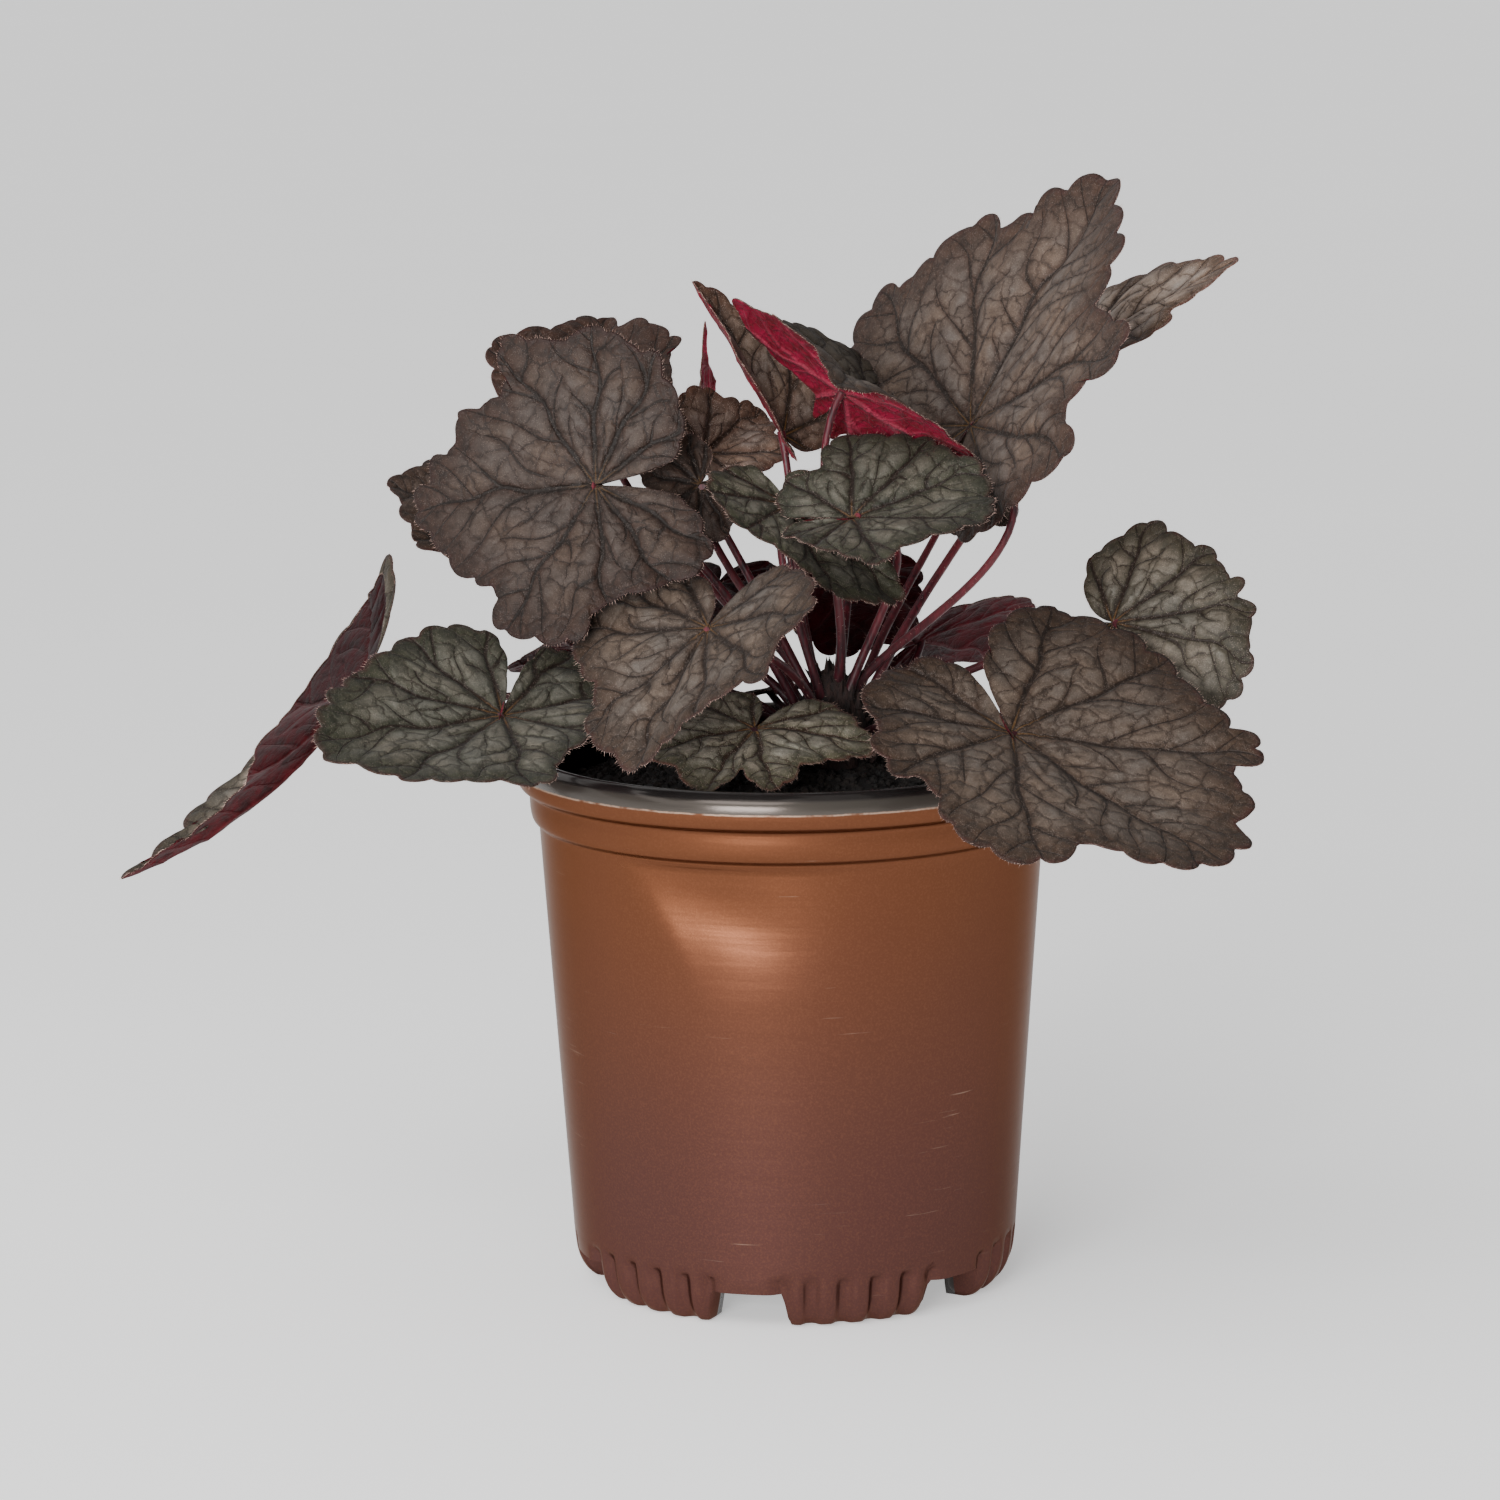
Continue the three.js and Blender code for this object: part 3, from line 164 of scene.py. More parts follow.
# Each leaf: base is where the petiole meets the blade and tip the end of the midrib;
# roll, droop, cup and fold are degrees; root is the azimuth and row on the
# crown; rise and reach bend the petiole near the crown and near the blade; skin is
# how silvery and how green the upper side is, how crimson the underside is (partly
# painted light shining through the blade), and a factor of painted light and shade
# that makes the whole leaf lighter or darker.
LEAVES = [
  {
    "name": "leaf_01", "base": [57, 20, 267], "tip": [103, 34, 344], "teeth": 30,
    "roll": -15, "droop": 10, "cup": 5, "fold": 10, "skin": (0.62, 0.12, 0.3, 0.65),
    "root": [12, 2], "rise": [2, 3, 20], "reach": [44, 10, -43],
    "edge": [
      [-170, 0.1], [-152, 0.36], [-136, 0.5], [-115, 0.55], [-100, 0.62], [-85, 0.71],
      [-72, 0.6], [-62, 0.8], [-55, 0.83], [-40, 0.69], [-25, 0.84], [-10, 0.91],
      [0, 0.99], [13, 0.88], [23, 0.75], [33, 0.82], [42, 0.78], [50, 0.76],
      [57, 0.71], [64, 0.78], [72, 0.8], [84, 0.74], [93, 0.66], [108, 0.58],
      [125, 0.6], [150, 0.45], [170, 0.1],
    ],
    "ribs": [-118, -86, -56, 0, 32, 70, 108, 142],
  },
  {
    "name": "leaf_02", "base": [93, 60, 286], "tip": [143, 50, 318], "teeth": 20,
    "roll": -20, "droop": 10, "cup": 25, "fold": 10, "skin": (1.0, 0.3, 0.3, 2.04),
    "root": [22, 1], "rise": [20, 4, 46], "reach": [-20, 14, -40],
    "edge": [
      [-172, 0.1], [-150, 0.35], [-110, 0.42], [-75, 0.48], [-54, 0.53], [-44, 0.65],
      [-36, 0.72], [-30, 0.71], [-25, 0.84], [-16, 0.92], [-8, 1], [0, 0.93],
      [5, 0.86], [10, 0.76], [28, 0.65], [37, 0.59], [59, 0.53], [95, 0.52],
      [140, 0.42], [172, 0.1],
    ],
    "ribs": [-140, -100, -45, -8, 37, 95, 140],
  },
  {
    "name": "leaf_03", "base": [-59, -25, 255], "tip": [-115, -4, 247], "teeth": 30,
    "roll": 70, "droop": 15, "cup": 0, "fold": 10, "skin": (0.52, 0.05, 0.3, 0.39),
    "root": [200, 1],
    "edge": [
      [-172, 0.1], [-169, 0.32], [-162, 0.45], [-152, 0.52], [-135, 0.61],
      [-124, 0.66], [-116, 0.73], [-106, 0.72], [-96, 0.8], [-78, 0.76], [-59, 0.9],
      [-54, 0.79], [-46, 0.67], [-41, 0.74], [-37, 0.73], [-31, 0.84], [-21, 0.78],
      [-14, 0.9], [-9, 0.91], [-3, 1], [3, 1.01], [8, 0.96], [14, 0.9], [25, 0.84],
      [39, 0.78], [44.5, 0.71], [52, 0.81], [58, 0.88], [68, 0.87], [84, 0.86],
      [98, 0.64], [118, 0.66], [141, 0.74], [159, 0.57], [167, 0.46], [172, 0.32],
      [174, 0.1],
    ],
    "ribs": [-148, -118, -92, -57, 0, 60, 98, 126, 150],
  },
  {
    "name": "leaf_04", "base": [-58, 18, 270], "tip": [-56, 48, 300], "teeth": 20,
    "roll": 0, "droop": 30, "cup": 0, "fold": 16, "skin": (0.1, 0.0, 0.3, 0.68),
    "root": [147, 1],
    "edge": [
      [-170, 0.1], [-145, 0.34], [-100, 0.42], [-60, 0.62], [-51, 0.64], [-44, 0.82],
      [-30, 0.84], [-16, 0.9], [-8, 0.86], [0, 0.97], [15, 0.92], [24, 0.84],
      [44, 0.9], [60, 0.98], [80, 0.8], [110, 0.7], [145, 0.5], [170, 0.1],
    ],
    "ribs": [-140, -95, -42, 0, 56, 100, 140],
  },
  {
    "name": "leaf_05", "base": [-94, 25, 238], "tip": [-126, 24, 250], "teeth": 18,
    "roll": 30, "droop": 15, "cup": 20, "fold": 10, "skin": (0.3, 0.2, 0.3, 0.57),
    "root": [172, 1],
    "edge": [
      [-170, 0.1], [-140, 0.5], [-95, 0.7], [-50, 0.82], [-20, 0.86], [0, 1],
      [12, 0.86], [29, 0.9], [41, 0.86], [52, 0.94], [62, 0.84], [90, 0.74],
      [140, 0.5], [170, 0.1],
    ],
    "ribs": [-140, -95, -45, 0, 50, 95, 140],
  },
  {
    "name": "leaf_06", "base": [-26, 12, 260], "tip": [-6, 30, 269], "teeth": 18,
    "roll": -45, "droop": 5, "cup": 0, "fold": 24, "skin": (0.5, 0.1, 0.3, 1.32),
    "root": [165, 2],
    "edge": [
      [-170, 0.1], [-140, 0.34], [-100, 0.5], [-72, 0.74], [-56, 0.84], [-40, 0.96],
      [-24, 0.86], [0, 1], [11, 0.95], [25, 0.8], [39, 0.73], [55, 0.76], [72, 0.74],
      [90, 0.62], [115, 0.4], [145, 0.3], [170, 0.1],
    ],
    "ribs": [-140, -90, -42, 8, 45, 90, 140],
  },
  {
    "name": "leaf_07", "base": [-24, 45, 262], "tip": [-26, 38, 299], "teeth": 16,
    "roll": -100, "droop": 10, "cup": 0, "fold": 0, "skin": (0.5, 0.0, 1.0, 2.27),
    "root": [125, 2],
    "edge": [
      [-172, 0.1], [-140, 0.45], [-98, 0.6], [-60, 0.62], [-40, 0.6], [-22, 0.62],
      [-9, 0.8], [0, 1], [9, 0.8], [22, 0.62], [40, 0.6], [60, 0.62], [98, 0.6],
      [140, 0.45], [172, 0.1],
    ],
    "ribs": SEVEN_RIBS,
  },
  {
    "name": "leaf_08", "base": [-1, 7, 266], "tip": [-28, 14, 313], "teeth": 22,
    "roll": 10, "droop": 5, "cup": 0, "fold": 25, "skin": (0.5, 0.1, 0.3, 1.29),
    "root": [180, 3], "reach": [8, -7, -30],
    "edge": [
      [-170, 0.06], [-150, 0.16], [-124, 0.27], [-110, 0.32], [-92, 0.38], [-79, 0.41],
      [-49, 0.48], [-34, 0.56], [-24, 0.66], [-12, 0.8], [0, 1], [12, 0.8], [22, 0.7],
      [40, 0.7], [52, 0.66], [64, 0.5], [80, 0.42], [110, 0.32], [145, 0.18],
      [170, 0.06],
    ],
    "ribs": [-140, -92, -45, 0, 44, 95, 140],
  },
  {
    "name": "leaf_09", "base": [17, -6, 281], "tip": [15, -46, 287], "teeth": 22,
    "roll": 34, "droop": 55, "cup": 0, "fold": 5, "skin": (0.6, 0.3, 1.0, 0.87),
    "root": [300, 3], "reach": [-14, 8, -26],
    "edge": [
      [-177, 0.1], [-175, 0.34], [-170, 0.45], [-160, 0.36], [-146, 0.3], [-128, 0.36],
      [-112, 0.54], [-98, 0.82], [-87, 1.04], [-74, 0.8], [-50, 0.8], [-26, 0.74],
      [0, 1], [26, 0.74], [50, 0.8], [74, 0.84], [87, 1.13], [99, 0.8], [112, 0.58],
      [128, 0.5], [146, 0.46], [160, 0.46], [169, 0.52], [174, 0.36], [177, 0.1],
    ],
    "ribs": [-150, -98, -50, 0, 50, 96, 150],
  },
  {
    "name": "leaf_10", "base": [25, 33, 273], "tip": [-1, 49, 298], "teeth": 18,
    "roll": 0, "droop": 20, "cup": -10, "fold": -10, "skin": (0.4, 0.6, 0.3, 0.72),
    "root": [60, 3],
    "edge": [
      [-170, 0.1], [-145, 0.16], [-100, 0.28], [-76, 0.4], [-62, 0.66], [-52, 0.82],
      [-42, 0.84], [-32, 0.82], [-22, 0.94], [-10, 1], [0, 1], [20, 0.74], [50, 0.44],
      [100, 0.3], [145, 0.24], [170, 0.1],
    ],
    "ribs": [-140, -95, -52, -8, 45, 95, 140],
  },
  {
    "name": "leaf_11", "base": [19, -30, 245], "tip": [62, -31, 251], "teeth": 26,
    "roll": -30, "droop": 5, "cup": 20, "fold": 22, "skin": (0.6, 1.0, 0.3, 0.63),
    "root": [318, 2], "rise": [3, -3, 20], "reach": [29, 26, -5],
    "edge": [
      [-188, 0.1], [-186.5, 0.37], [-179, 0.49], [-170, 0.49], [-150, 0.45],
      [-128, 0.48], [-108, 0.55], [-91, 0.66], [-77, 0.79], [-66, 0.72], [-50, 0.76],
      [-33, 0.9], [-21, 1.02], [-8, 1], [0, 0.98], [17, 0.99], [30, 0.86], [42, 0.86],
      [55, 0.8], [70, 0.76], [84, 0.79], [97, 0.74], [111, 0.5], [134, 0.6],
      [148, 0.58], [158, 0.54], [165, 0.5], [168, 0.37], [169, 0.1],
    ],
    "ribs": [-165, -125, -78, -24, 14, 42, 84, 134],
  },
  {
    "name": "leaf_12", "base": [0, -12, 247], "tip": [34, -27, 219], "teeth": 22,
    "roll": -30, "droop": 0, "cup": -5, "fold": 16, "skin": (0.5, 1.0, 0.3, 0.85),
    "root": [243, 2],
    "edge": [
      [-195, 0.1], [-186, 0.36], [-159, 0.48], [-134, 0.6], [-103, 0.61], [-86, 0.56],
      [-71, 0.55], [-47, 0.66], [-29, 0.88], [-14, 0.95], [0, 1], [14, 0.7],
      [30, 0.42], [60, 0.3], [100, 0.28], [135, 0.22], [148, 0.1],
    ],
    "ribs": [-160, -128, -90, -32, 0, 45, 95],
  },
  {
    "name": "leaf_13", "base": [-27, -9, 253], "tip": [-22, -19, 236], "teeth": 16,
    "roll": -25, "droop": -5, "cup": 10, "fold": 14, "skin": (0.35, 0.1, 0.4, 0.53),
    "root": [207, 2],
    "edge": [
      [-225, 0.1], [-218, 0.45], [-205, 0.6], [-190, 0.76], [-179, 0.82], [-160, 0.74],
      [-142, 0.8], [-128, 0.78], [-114, 0.94], [-95, 0.8], [-70, 0.7], [-45, 0.72],
      [-17, 0.98], [0, 1], [17, 0.88], [35, 0.7], [53, 0.66], [75, 0.6], [95, 0.3],
      [105, 0.1],
    ],
    "ribs": [-205, -180, -145, -114, -65, -17, 12, 55],
  },
  {
    "name": "leaf_14", "base": [-25, -58, 216], "tip": [-47, -88, 179], "teeth": 26,
    "roll": -5, "droop": 10, "cup": 0, "fold": 10, "skin": (0.6, 0.3, 0.3, 0.65),
    "root": [247, 1],
    "edge": [
      [-170, 0.1], [-152, 0.36], [-136, 0.5], [-121, 0.68], [-106, 0.82], [-84, 0.86],
      [-62, 0.8], [-40, 0.73], [-25, 0.93], [-10, 0.97], [0, 1.02], [12, 0.88],
      [28, 0.72], [45, 0.74], [61, 0.86], [73, 0.76], [92, 0.82], [110, 0.74],
      [127, 0.63], [154, 0.48], [171, 0.1],
    ],
    "ribs": [-135, -105, -76, -26, 0, 28, 60, 95, 135],
  },
  {
    "name": "leaf_15", "base": [-87, -52, 189], "tip": [-138, -92, 183], "teeth": 28,
    "roll": 25, "droop": -5, "cup": 0, "fold": 12, "skin": (0.7, 1.0, 0.6, 0.69),
    "root": [207, 0],
    "edge": [
      [-130, 0.08], [-125, 0.38], [-119, 0.51], [-107, 0.57], [-87, 0.6], [-64, 0.62],
      [-40, 0.71], [-25, 0.84], [-12, 0.94], [0, 1], [10, 0.92], [22, 0.87],
      [43, 0.78], [56, 0.74], [68, 0.77], [78, 0.62], [87, 0.52], [110, 0.47],
      [140, 0.47], [174, 0.52], [194, 0.6], [213, 0.54], [221, 0.34], [225, 0.08],
    ],
    "ribs": [-112, -72, -38, -8, 22, 64, 120, 170, 205],
  },
  {
    "name": "leaf_16", "base": [-11, -28, 180], "tip": [-28, -60, 166], "teeth": 22,
    "roll": 10, "droop": 5, "cup": 20, "fold": 10, "skin": (0.62, 0.9, 0.3, 1.91),
    "root": [236, 0],
    "edge": [
      [-170, 0.2], [-152, 0.5], [-121, 0.56], [-86, 0.6], [-62, 0.8], [-40, 0.96],
      [-22, 0.88], [0, 1], [10, 0.86], [17, 0.66], [24, 0.84], [34, 0.92], [46, 0.84],
      [57, 0.7], [80, 0.8], [104, 1], [120, 0.82], [135, 0.74], [160, 0.6], [172, 0.2],
    ],
    "ribs": [-150, -100, -42, 0, 34, 104, 140],
  },
  {
    "name": "leaf_17", "base": [66, -58, 183], "tip": [133, -99, 158], "teeth": 32,
    "roll": -20, "droop": -5, "cup": 10, "fold": 10, "skin": (0.52, 0.3, 0.3, 0.73),
    "root": [310, 0],
    "edge": [
      [-213, 0.1], [-211.5, 0.27], [-203, 0.43], [-191, 0.5], [-172, 0.54],
      [-152, 0.56], [-138, 0.5], [-123, 0.56], [-106, 0.57], [-95, 0.52], [-84, 0.6],
      [-79, 0.68], [-59, 0.82], [-49, 0.84], [-36, 0.76], [-26, 0.93], [-20, 1],
      [-12, 1.04], [-4, 1.045], [3, 0.95], [8, 0.95], [12, 0.92], [19, 0.82],
      [25, 0.9], [30, 0.92], [34, 0.88], [38, 0.82], [58, 0.72], [75, 0.74],
      [96, 0.73], [113, 0.73], [126, 0.62], [136, 0.44], [142, 0.28], [144, 0.1],
    ],
    "ribs": [-186, -150, -106, -52, -14, 26, 70, 110],
  },
  {
    "name": "leaf_18", "base": [100, -5, 208], "tip": [142, -24, 200], "teeth": 24,
    "roll": -65, "droop": 15, "cup": 10, "fold": -10, "skin": (0.75, 0.75, 0.3, 0.76),
    "root": [352, 0],
    "edge": [
      [-172, 0.1], [-152, 0.45], [-120, 0.62], [-90, 0.72], [-60, 0.8], [-40, 0.84],
      [-23, 0.96], [-15, 1.01], [0, 1], [8, 0.93], [20, 0.97], [27, 0.88], [34, 0.91],
      [42, 0.82], [55, 0.84], [72, 0.76], [94, 0.83], [112, 0.66], [127, 0.59],
      [141, 0.42], [160, 0.2], [174, 0.05],
    ],
    "ribs": [-130, -85, -42, 0, 22, 55, 94, 130],
  },
  {
    "name": "leaf_19", "base": [-134, 6, 190], "tip": [-208, -16, 133.5], "teeth": 24,
    "roll": -8, "droop": -37, "cup": 0, "fold": 22, "skin": (1.0, 0.7, 0.1, 0.72),
    "root": [182, 0],
    "edge": [
      [-174, 0.1], [-164, 0.36], [-156, 0.46], [-145, 0.36], [-130, 0.31], [-90, 0.28],
      [-70, 0.27], [-50, 0.33], [-35, 0.42], [-22, 0.53], [-16, 0.68], [-10, 0.76],
      [-5, 0.87], [0, 1], [5, 0.86], [10, 0.68], [23, 0.57], [38, 0.59], [52, 0.6],
      [68, 0.58], [90, 0.51], [110, 0.51], [128, 0.53], [136, 0.42], [146, 0.22],
      [156, 0.1],
    ],
    "ribs": [-140, -90, -45, 0, 30, 66, 118],
  },
  {
    "name": "leaf_20", "base": [41, 45, 195], "tip": [79, 50, 206], "teeth": 18,
    "roll": 30, "droop": 20, "cup": 10, "fold": -2, "skin": (0.3, 0.0, 0.25, 0.6),
    "root": [52, 0],
    "edge": [
      [-170, 0.1], [-145, 0.36], [-100, 0.5], [-57, 0.68], [-40, 0.74], [-23, 0.84],
      [0, 1], [17, 0.96], [35, 0.88], [54, 1], [62, 0.8], [90, 0.6], [140, 0.45],
      [170, 0.1],
    ],
    "ribs": SEVEN_RIBS,
  },
  {
    "name": "leaf_21", "base": [-22, 46, 215], "tip": [-32, 74, 186], "teeth": 18,
    "roll": 0, "droop": 20, "cup": 10, "fold": 0, "skin": (0.3, 0.0, 0.2, 0.45),
    "root": [115, 1],
    "edge": [
      [-173, 0.1], [-160, 0.34], [-140, 0.46], [-118, 0.46], [-98, 0.5], [-76, 0.5],
      [-50, 0.68], [-27, 0.72], [0, 1], [27, 0.74], [50, 0.86], [76, 0.66], [98, 0.72],
      [118, 0.58], [140, 0.54], [160, 0.36], [173, 0.1],
    ],
    "ribs": SEVEN_RIBS,
  },
  {
    "name": "leaf_22", "base": [18, 45, 219], "tip": [17, 74, 186], "teeth": 20,
    "roll": 0, "droop": 20, "cup": 10, "fold": 0, "skin": (0.3, 0.1, 0.2, 0.6),
    "root": [82, 1],
    "edge": [
      [-172, 0.1], [-166, 0.3], [-140, 0.42], [-110, 0.5], [-90, 0.56], [-70, 0.6],
      [-50, 0.74], [-30, 0.96], [-15, 0.96], [0, 1], [20, 0.85], [45, 0.68],
      [70, 0.55], [95, 0.46], [120, 0.4], [145, 0.32], [166, 0.24], [172, 0.1],
    ],
    "ribs": SEVEN_RIBS,
  },
  {
    "name": "leaf_23", "base": [-61, 30, 194], "tip": [-89, 20, 192], "teeth": 16,
    "roll": -30, "droop": 20, "cup": 10, "fold": 0, "skin": (0.4, 0.3, 0.1, 0.6),
    "root": [158, 0],
    "edge": [
      [-173, 0.1], [-160, 0.36], [-140, 0.54], [-118, 0.58], [-98, 0.72], [-76, 0.66],
      [-50, 0.86], [-27, 0.8], [0, 1], [22, 0.84], [40, 0.94], [63, 1.05], [80, 0.9],
      [98, 0.96], [118, 0.7], [140, 0.54], [160, 0.36], [173, 0.1],
    ],
    "ribs": SEVEN_RIBS,
  },
  {
    "name": "leaf_24", "base": [-6, 24, 184], "tip": [-17, 36, 177], "teeth": 16,
    "roll": 0, "droop": 20, "cup": 10, "fold": 0, "skin": (0.4, 0.2, 0.4, 0.53),
    "root": [133, 0],
    "edge": SEVEN_LOBES,
    "ribs": SEVEN_RIBS,
  },
  {
    "name": "leaf_25", "base": [54, 42, 250], "tip": [72, 37, 234], "teeth": 16,
    "roll": -60, "droop": 20, "cup": 10, "fold": 0, "skin": (0.4, 0.3, 0.3, 0.6),
    "root": [50, 1], "rise": [13, 1, 40], "reach": [-4, 14, -22],
    "edge": SEVEN_LOBES,
    "ribs": SEVEN_RIBS,
  },
]


def mm(points):
    """Millimetres from the pot's axis to metres in the frame."""
    return (np.asarray(points, float) + np.array(POT_AXIS)) * MM


def unit(vector):
    return vector / np.linalg.norm(vector)


def smooth_step(low, high, value):
    t = np.clip((value - low) / (high - low), 0.0, 1.0)
    return t * t * (3 - 2 * t)


def leaf_frame(leaf):
    """The blade's own axes: along the midrib, to its left and up from the blade."""
    base, tip = np.array(leaf["base"], float), np.array(leaf["tip"], float)
    chord = np.linalg.norm(tip - base)
    along = (tip - base) / chord
    up = unit(np.array([0, 0, 1.0]) - along * along[2])
    side = np.cross(up, along)
    roll = math.radians(leaf["roll"])
    normal = up * math.cos(roll) + side * math.sin(roll)
    left = np.cross(normal, along)
    half = math.radians(leaf["droop"]) / 2
    length = chord * half / math.sin(half) if abs(half) > 1e-4 else chord
    return base, along, left, normal, length


def smooth_through(points, at):
    """A smooth curve through the points that never overshoots them."""
    x, y = np.array(points, float).T
    span = np.diff(x)
    slope = np.diff(y) / span
    tangent = np.empty(len(x))
    tangent[0], tangent[-1] = slope[0], slope[-1]
    product = slope[:-1] * slope[1:]
    total = np.where(product > 0, slope[:-1] + slope[1:], 1.0)
    tangent[1:-1] = np.where(product > 0, 2 * product / total, 0.0)
    i = np.clip(np.searchsorted(x, at) - 1, 0, len(x) - 2)
    h = span[i]
    t = (at - x[i]) / h
    s = 1 - t
    held = y[i] * (1 + 2 * t) * s * s + y[i + 1] * t * t * (3 - 2 * t)
    return held + h * (tangent[i] * t * s * s - tangent[i + 1] * t * t * s)


def leaf_seed(leaf):
    return int(leaf["name"][-2:])


def blade_edge(leaf, per_tooth, tooth_depth):
    """The blade's edge at even steps, without and with its rounded teeth."""
    first, last = leaf["edge"][0][0], leaf["edge"][-1][0]
    angle = np.linspace(first, last, EDGE_STEPS + 1)
    r = smooth_through(leaf["edge"], angle)
    x, y = r * np.cos(np.radians(angle)), r * np.sin(np.radians(angle))
    run = np.concatenate([[0], np.cumsum(np.hypot(np.diff(x), np.diff(y)))])
    count = leaf["teeth"] * per_tooth
    t = np.arange(count) / count
    plain = np.stack([np.interp(t * run[-1], run, x), np.interp(t * run[-1], run, y)], 1)
    fade = np.clip(np.minimum(t, 1 - t) / TOOTH_FADE, 0, 1)
    seed = leaf_seed(leaf)
    beat = t * leaf["teeth"] + 0.13 * np.sin(2 * np.pi * t * 5 + seed) * fade
    size = 1 + 0.3 * np.sin(2 * np.pi * t * 7 + 2.1 * seed)
    round_tooth = np.abs(np.sin(np.pi * beat)) ** TOOTH_ROUNDNESS - TOOTH_MIDDLE
    fine = 0.012 * np.sin(2 * np.pi * beat * 3 + seed)
    step = np.roll(plain, -2, 0) - np.roll(plain, 2, 0)
    out = np.stack([step[:, 1], -step[:, 0]], 1)
    out = out / np.maximum(np.linalg.norm(out, axis=1), 1e-6)[:, None]
    reach = np.linalg.norm(plain, axis=1)
    away = 0.75 * out + 0.25 * plain / np.maximum(reach, 1e-6)[:, None]
    depth = tooth_depth * np.minimum(reach, 0.8) * (size * round_tooth + fine) * fade
    toothed = plain + away * depth[:, None]
    middle = math.radians((first + last) / 2)
    inward = np.array([math.cos(middle), math.sin(middle)])
    plain[0] = toothed[0] = BLADE_APEX * inward
    return plain, toothed, BLADE_MIDDLE * inward


def wrapped_angle(leaf, x, y):
    low = leaf["edge"][0][0]
    angle = np.degrees(np.arctan2(y, x))
    angle = np.where(angle < low, angle + 360, angle)
    return np.where(angle > low + 360, angle - 360, angle)


def pleat_at(leaf, angle):
    ribs = leaf["ribs"]
    pleat = np.zeros_like(angle)
    for start, end in zip(ribs[:-1], ribs[1:]):
        inside = (angle >= start) & (angle <= end)
        pleat = np.where(inside, np.sin(np.pi * (angle - start) / (end - start)) - PLEAT_MIDDLE,
                         pleat)
    return pleat


def blade_place(leaf, x, y, lift):
    """Flat blade points, in shares of the midrib, on the folded and curved blade."""
    base, along, left, normal, length = leaf_frame(leaf)
    u, v = x * length, y * length
    share = np.hypot(u, v) / length
    pleat = pleat_at(leaf, wrapped_angle(leaf, x, y))
    w = PLEAT * length * pleat * np.minimum(share * PLEAT_GROWTH, 1) + lift
    fold = math.radians(leaf["fold"])
    curve = math.radians(leaf["cup"]) / (CUP_SHARE * length)
    out = np.abs(v)
    tilt = fold - curve * out
    if abs(curve) > 1e-7:
        across = (math.sin(fold) - np.sin(tilt)) / curve
        height = (np.cos(tilt) - math.cos(fold)) / curve
    else:
        across, height = out * math.cos(fold), out * math.sin(fold)
    across = (across - w * np.sin(tilt)) * np.where(v < 0, -1.0, 1.0)
    height = height + w * np.cos(tilt)
    droop = math.radians(leaf["droop"])
    bend = droop / length
    slope = droop / 2 - bend * u
    if abs(bend) > 1e-7:
        mx = (math.sin(droop / 2) - np.sin(slope)) / bend
        mz = (np.cos(slope) - math.cos(droop / 2)) / bend
    else:
        mx, mz = u, np.zeros_like(u)
    px = mx - height * np.sin(slope)
    pz = mz + height * np.cos(slope)
    return base + px[:, None] * along + across[:, None] * left + pz[:, None] * normal


def vein_fields(leaf, x, y):
    """Where each point lies between the main ribs and between their branches."""
    length = leaf_frame(leaf)[4]
    seed = leaf_seed(leaf)
    angle = wrapped_angle(leaf, x, y)
    r = np.hypot(x, y)
    wander = 2.2 * np.sin(9 * r + seed) + 1.3 * np.sin(17 * r + 2 * seed)
    bent = angle + wander * smooth_step(0.1, 0.5, r)
    ribs = np.array(leaf["ribs"], float)
    count = len(ribs)
    phase = np.interp(bent, ribs, np.arange(count))
    phase = np.where(bent < ribs[0], (bent - ribs[0]) / (ribs[1] - ribs[0]), phase)
    over = count - 1 + (bent - ribs[-1]) / (ribs[-1] - ribs[-2])
    phase = np.clip(np.where(bent > ribs[-1], over, phase), -0.49, count - 0.51)
    sector = np.clip(np.floor(phase), 0, count - 2).astype(int)
    rib_step = np.radians(ribs[sector + 1] - ribs[sector]) * r * length
    nearest = np.clip(np.round(phase), 0, count - 1).astype(int)
    off = np.radians(bent - ribs[nearest])
    side = np.where(off > 0, 0.5, 0.0)
    run = r * length * (np.cos(off) - BRANCH_LEAN * np.sin(np.abs(off)))
    spacing = BRANCH_SPACING * (0.62 + 0.38 * length / 90)
    jitter = 0.22 * np.sin(2.7 * phase + 7 * r + seed) + 0.13 * np.sin(5.9 * phase - 11 * r)
    branch = run / spacing + side + jitter + 0.31 * seed
    lean = math.sin(math.atan(1 / BRANCH_LEAN))
    return phase, rib_step, branch, np.full_like(r, spacing * lean), off, r


def vein_relief(leaf, x, y):
    """Height of the quilted blade between its veins, and depth of the veins, in mm."""
    phase, rib_step, branch, branch_step, off, r = vein_fields(leaf, x, y)
    rib_mm = np.abs(phase - np.round(phase)) * rib_step
    branch_mm = np.abs(branch - np.round(branch)) * branch_step
    length = leaf_frame(leaf)[4]
    grown = smooth_step(0.05, 0.3, r)
    near_edge = 1 - 0.5 * smooth_step(0.6, 1.0, r)
    rib = np.exp(-(rib_mm / 1.15) ** 2) * near_edge
    twig = np.exp(-(branch_mm / 0.95) ** 2) * grown * 0.75 * near_edge
    quilt = (1 - np.exp(-(rib_mm / 4.5) ** 2)) * (1 - 0.7 * np.exp(-(branch_mm / 2.6) ** 2))
    u, v = x * length, y * length
    seed = leaf_seed(leaf)
    pucker = (np.sin(0.95 * u + 0.4 * v + seed) * np.sin(0.85 * v - 0.3 * u + 2 * seed)
              + 0.5 * np.sin(1.7 * u - 1.1 * v) * np.sin(1.5 * v + 0.9 * u + seed))
    lift = 0.55 * quilt * grown + 0.14 * pucker * quilt * grown
    return lift, rib, twig


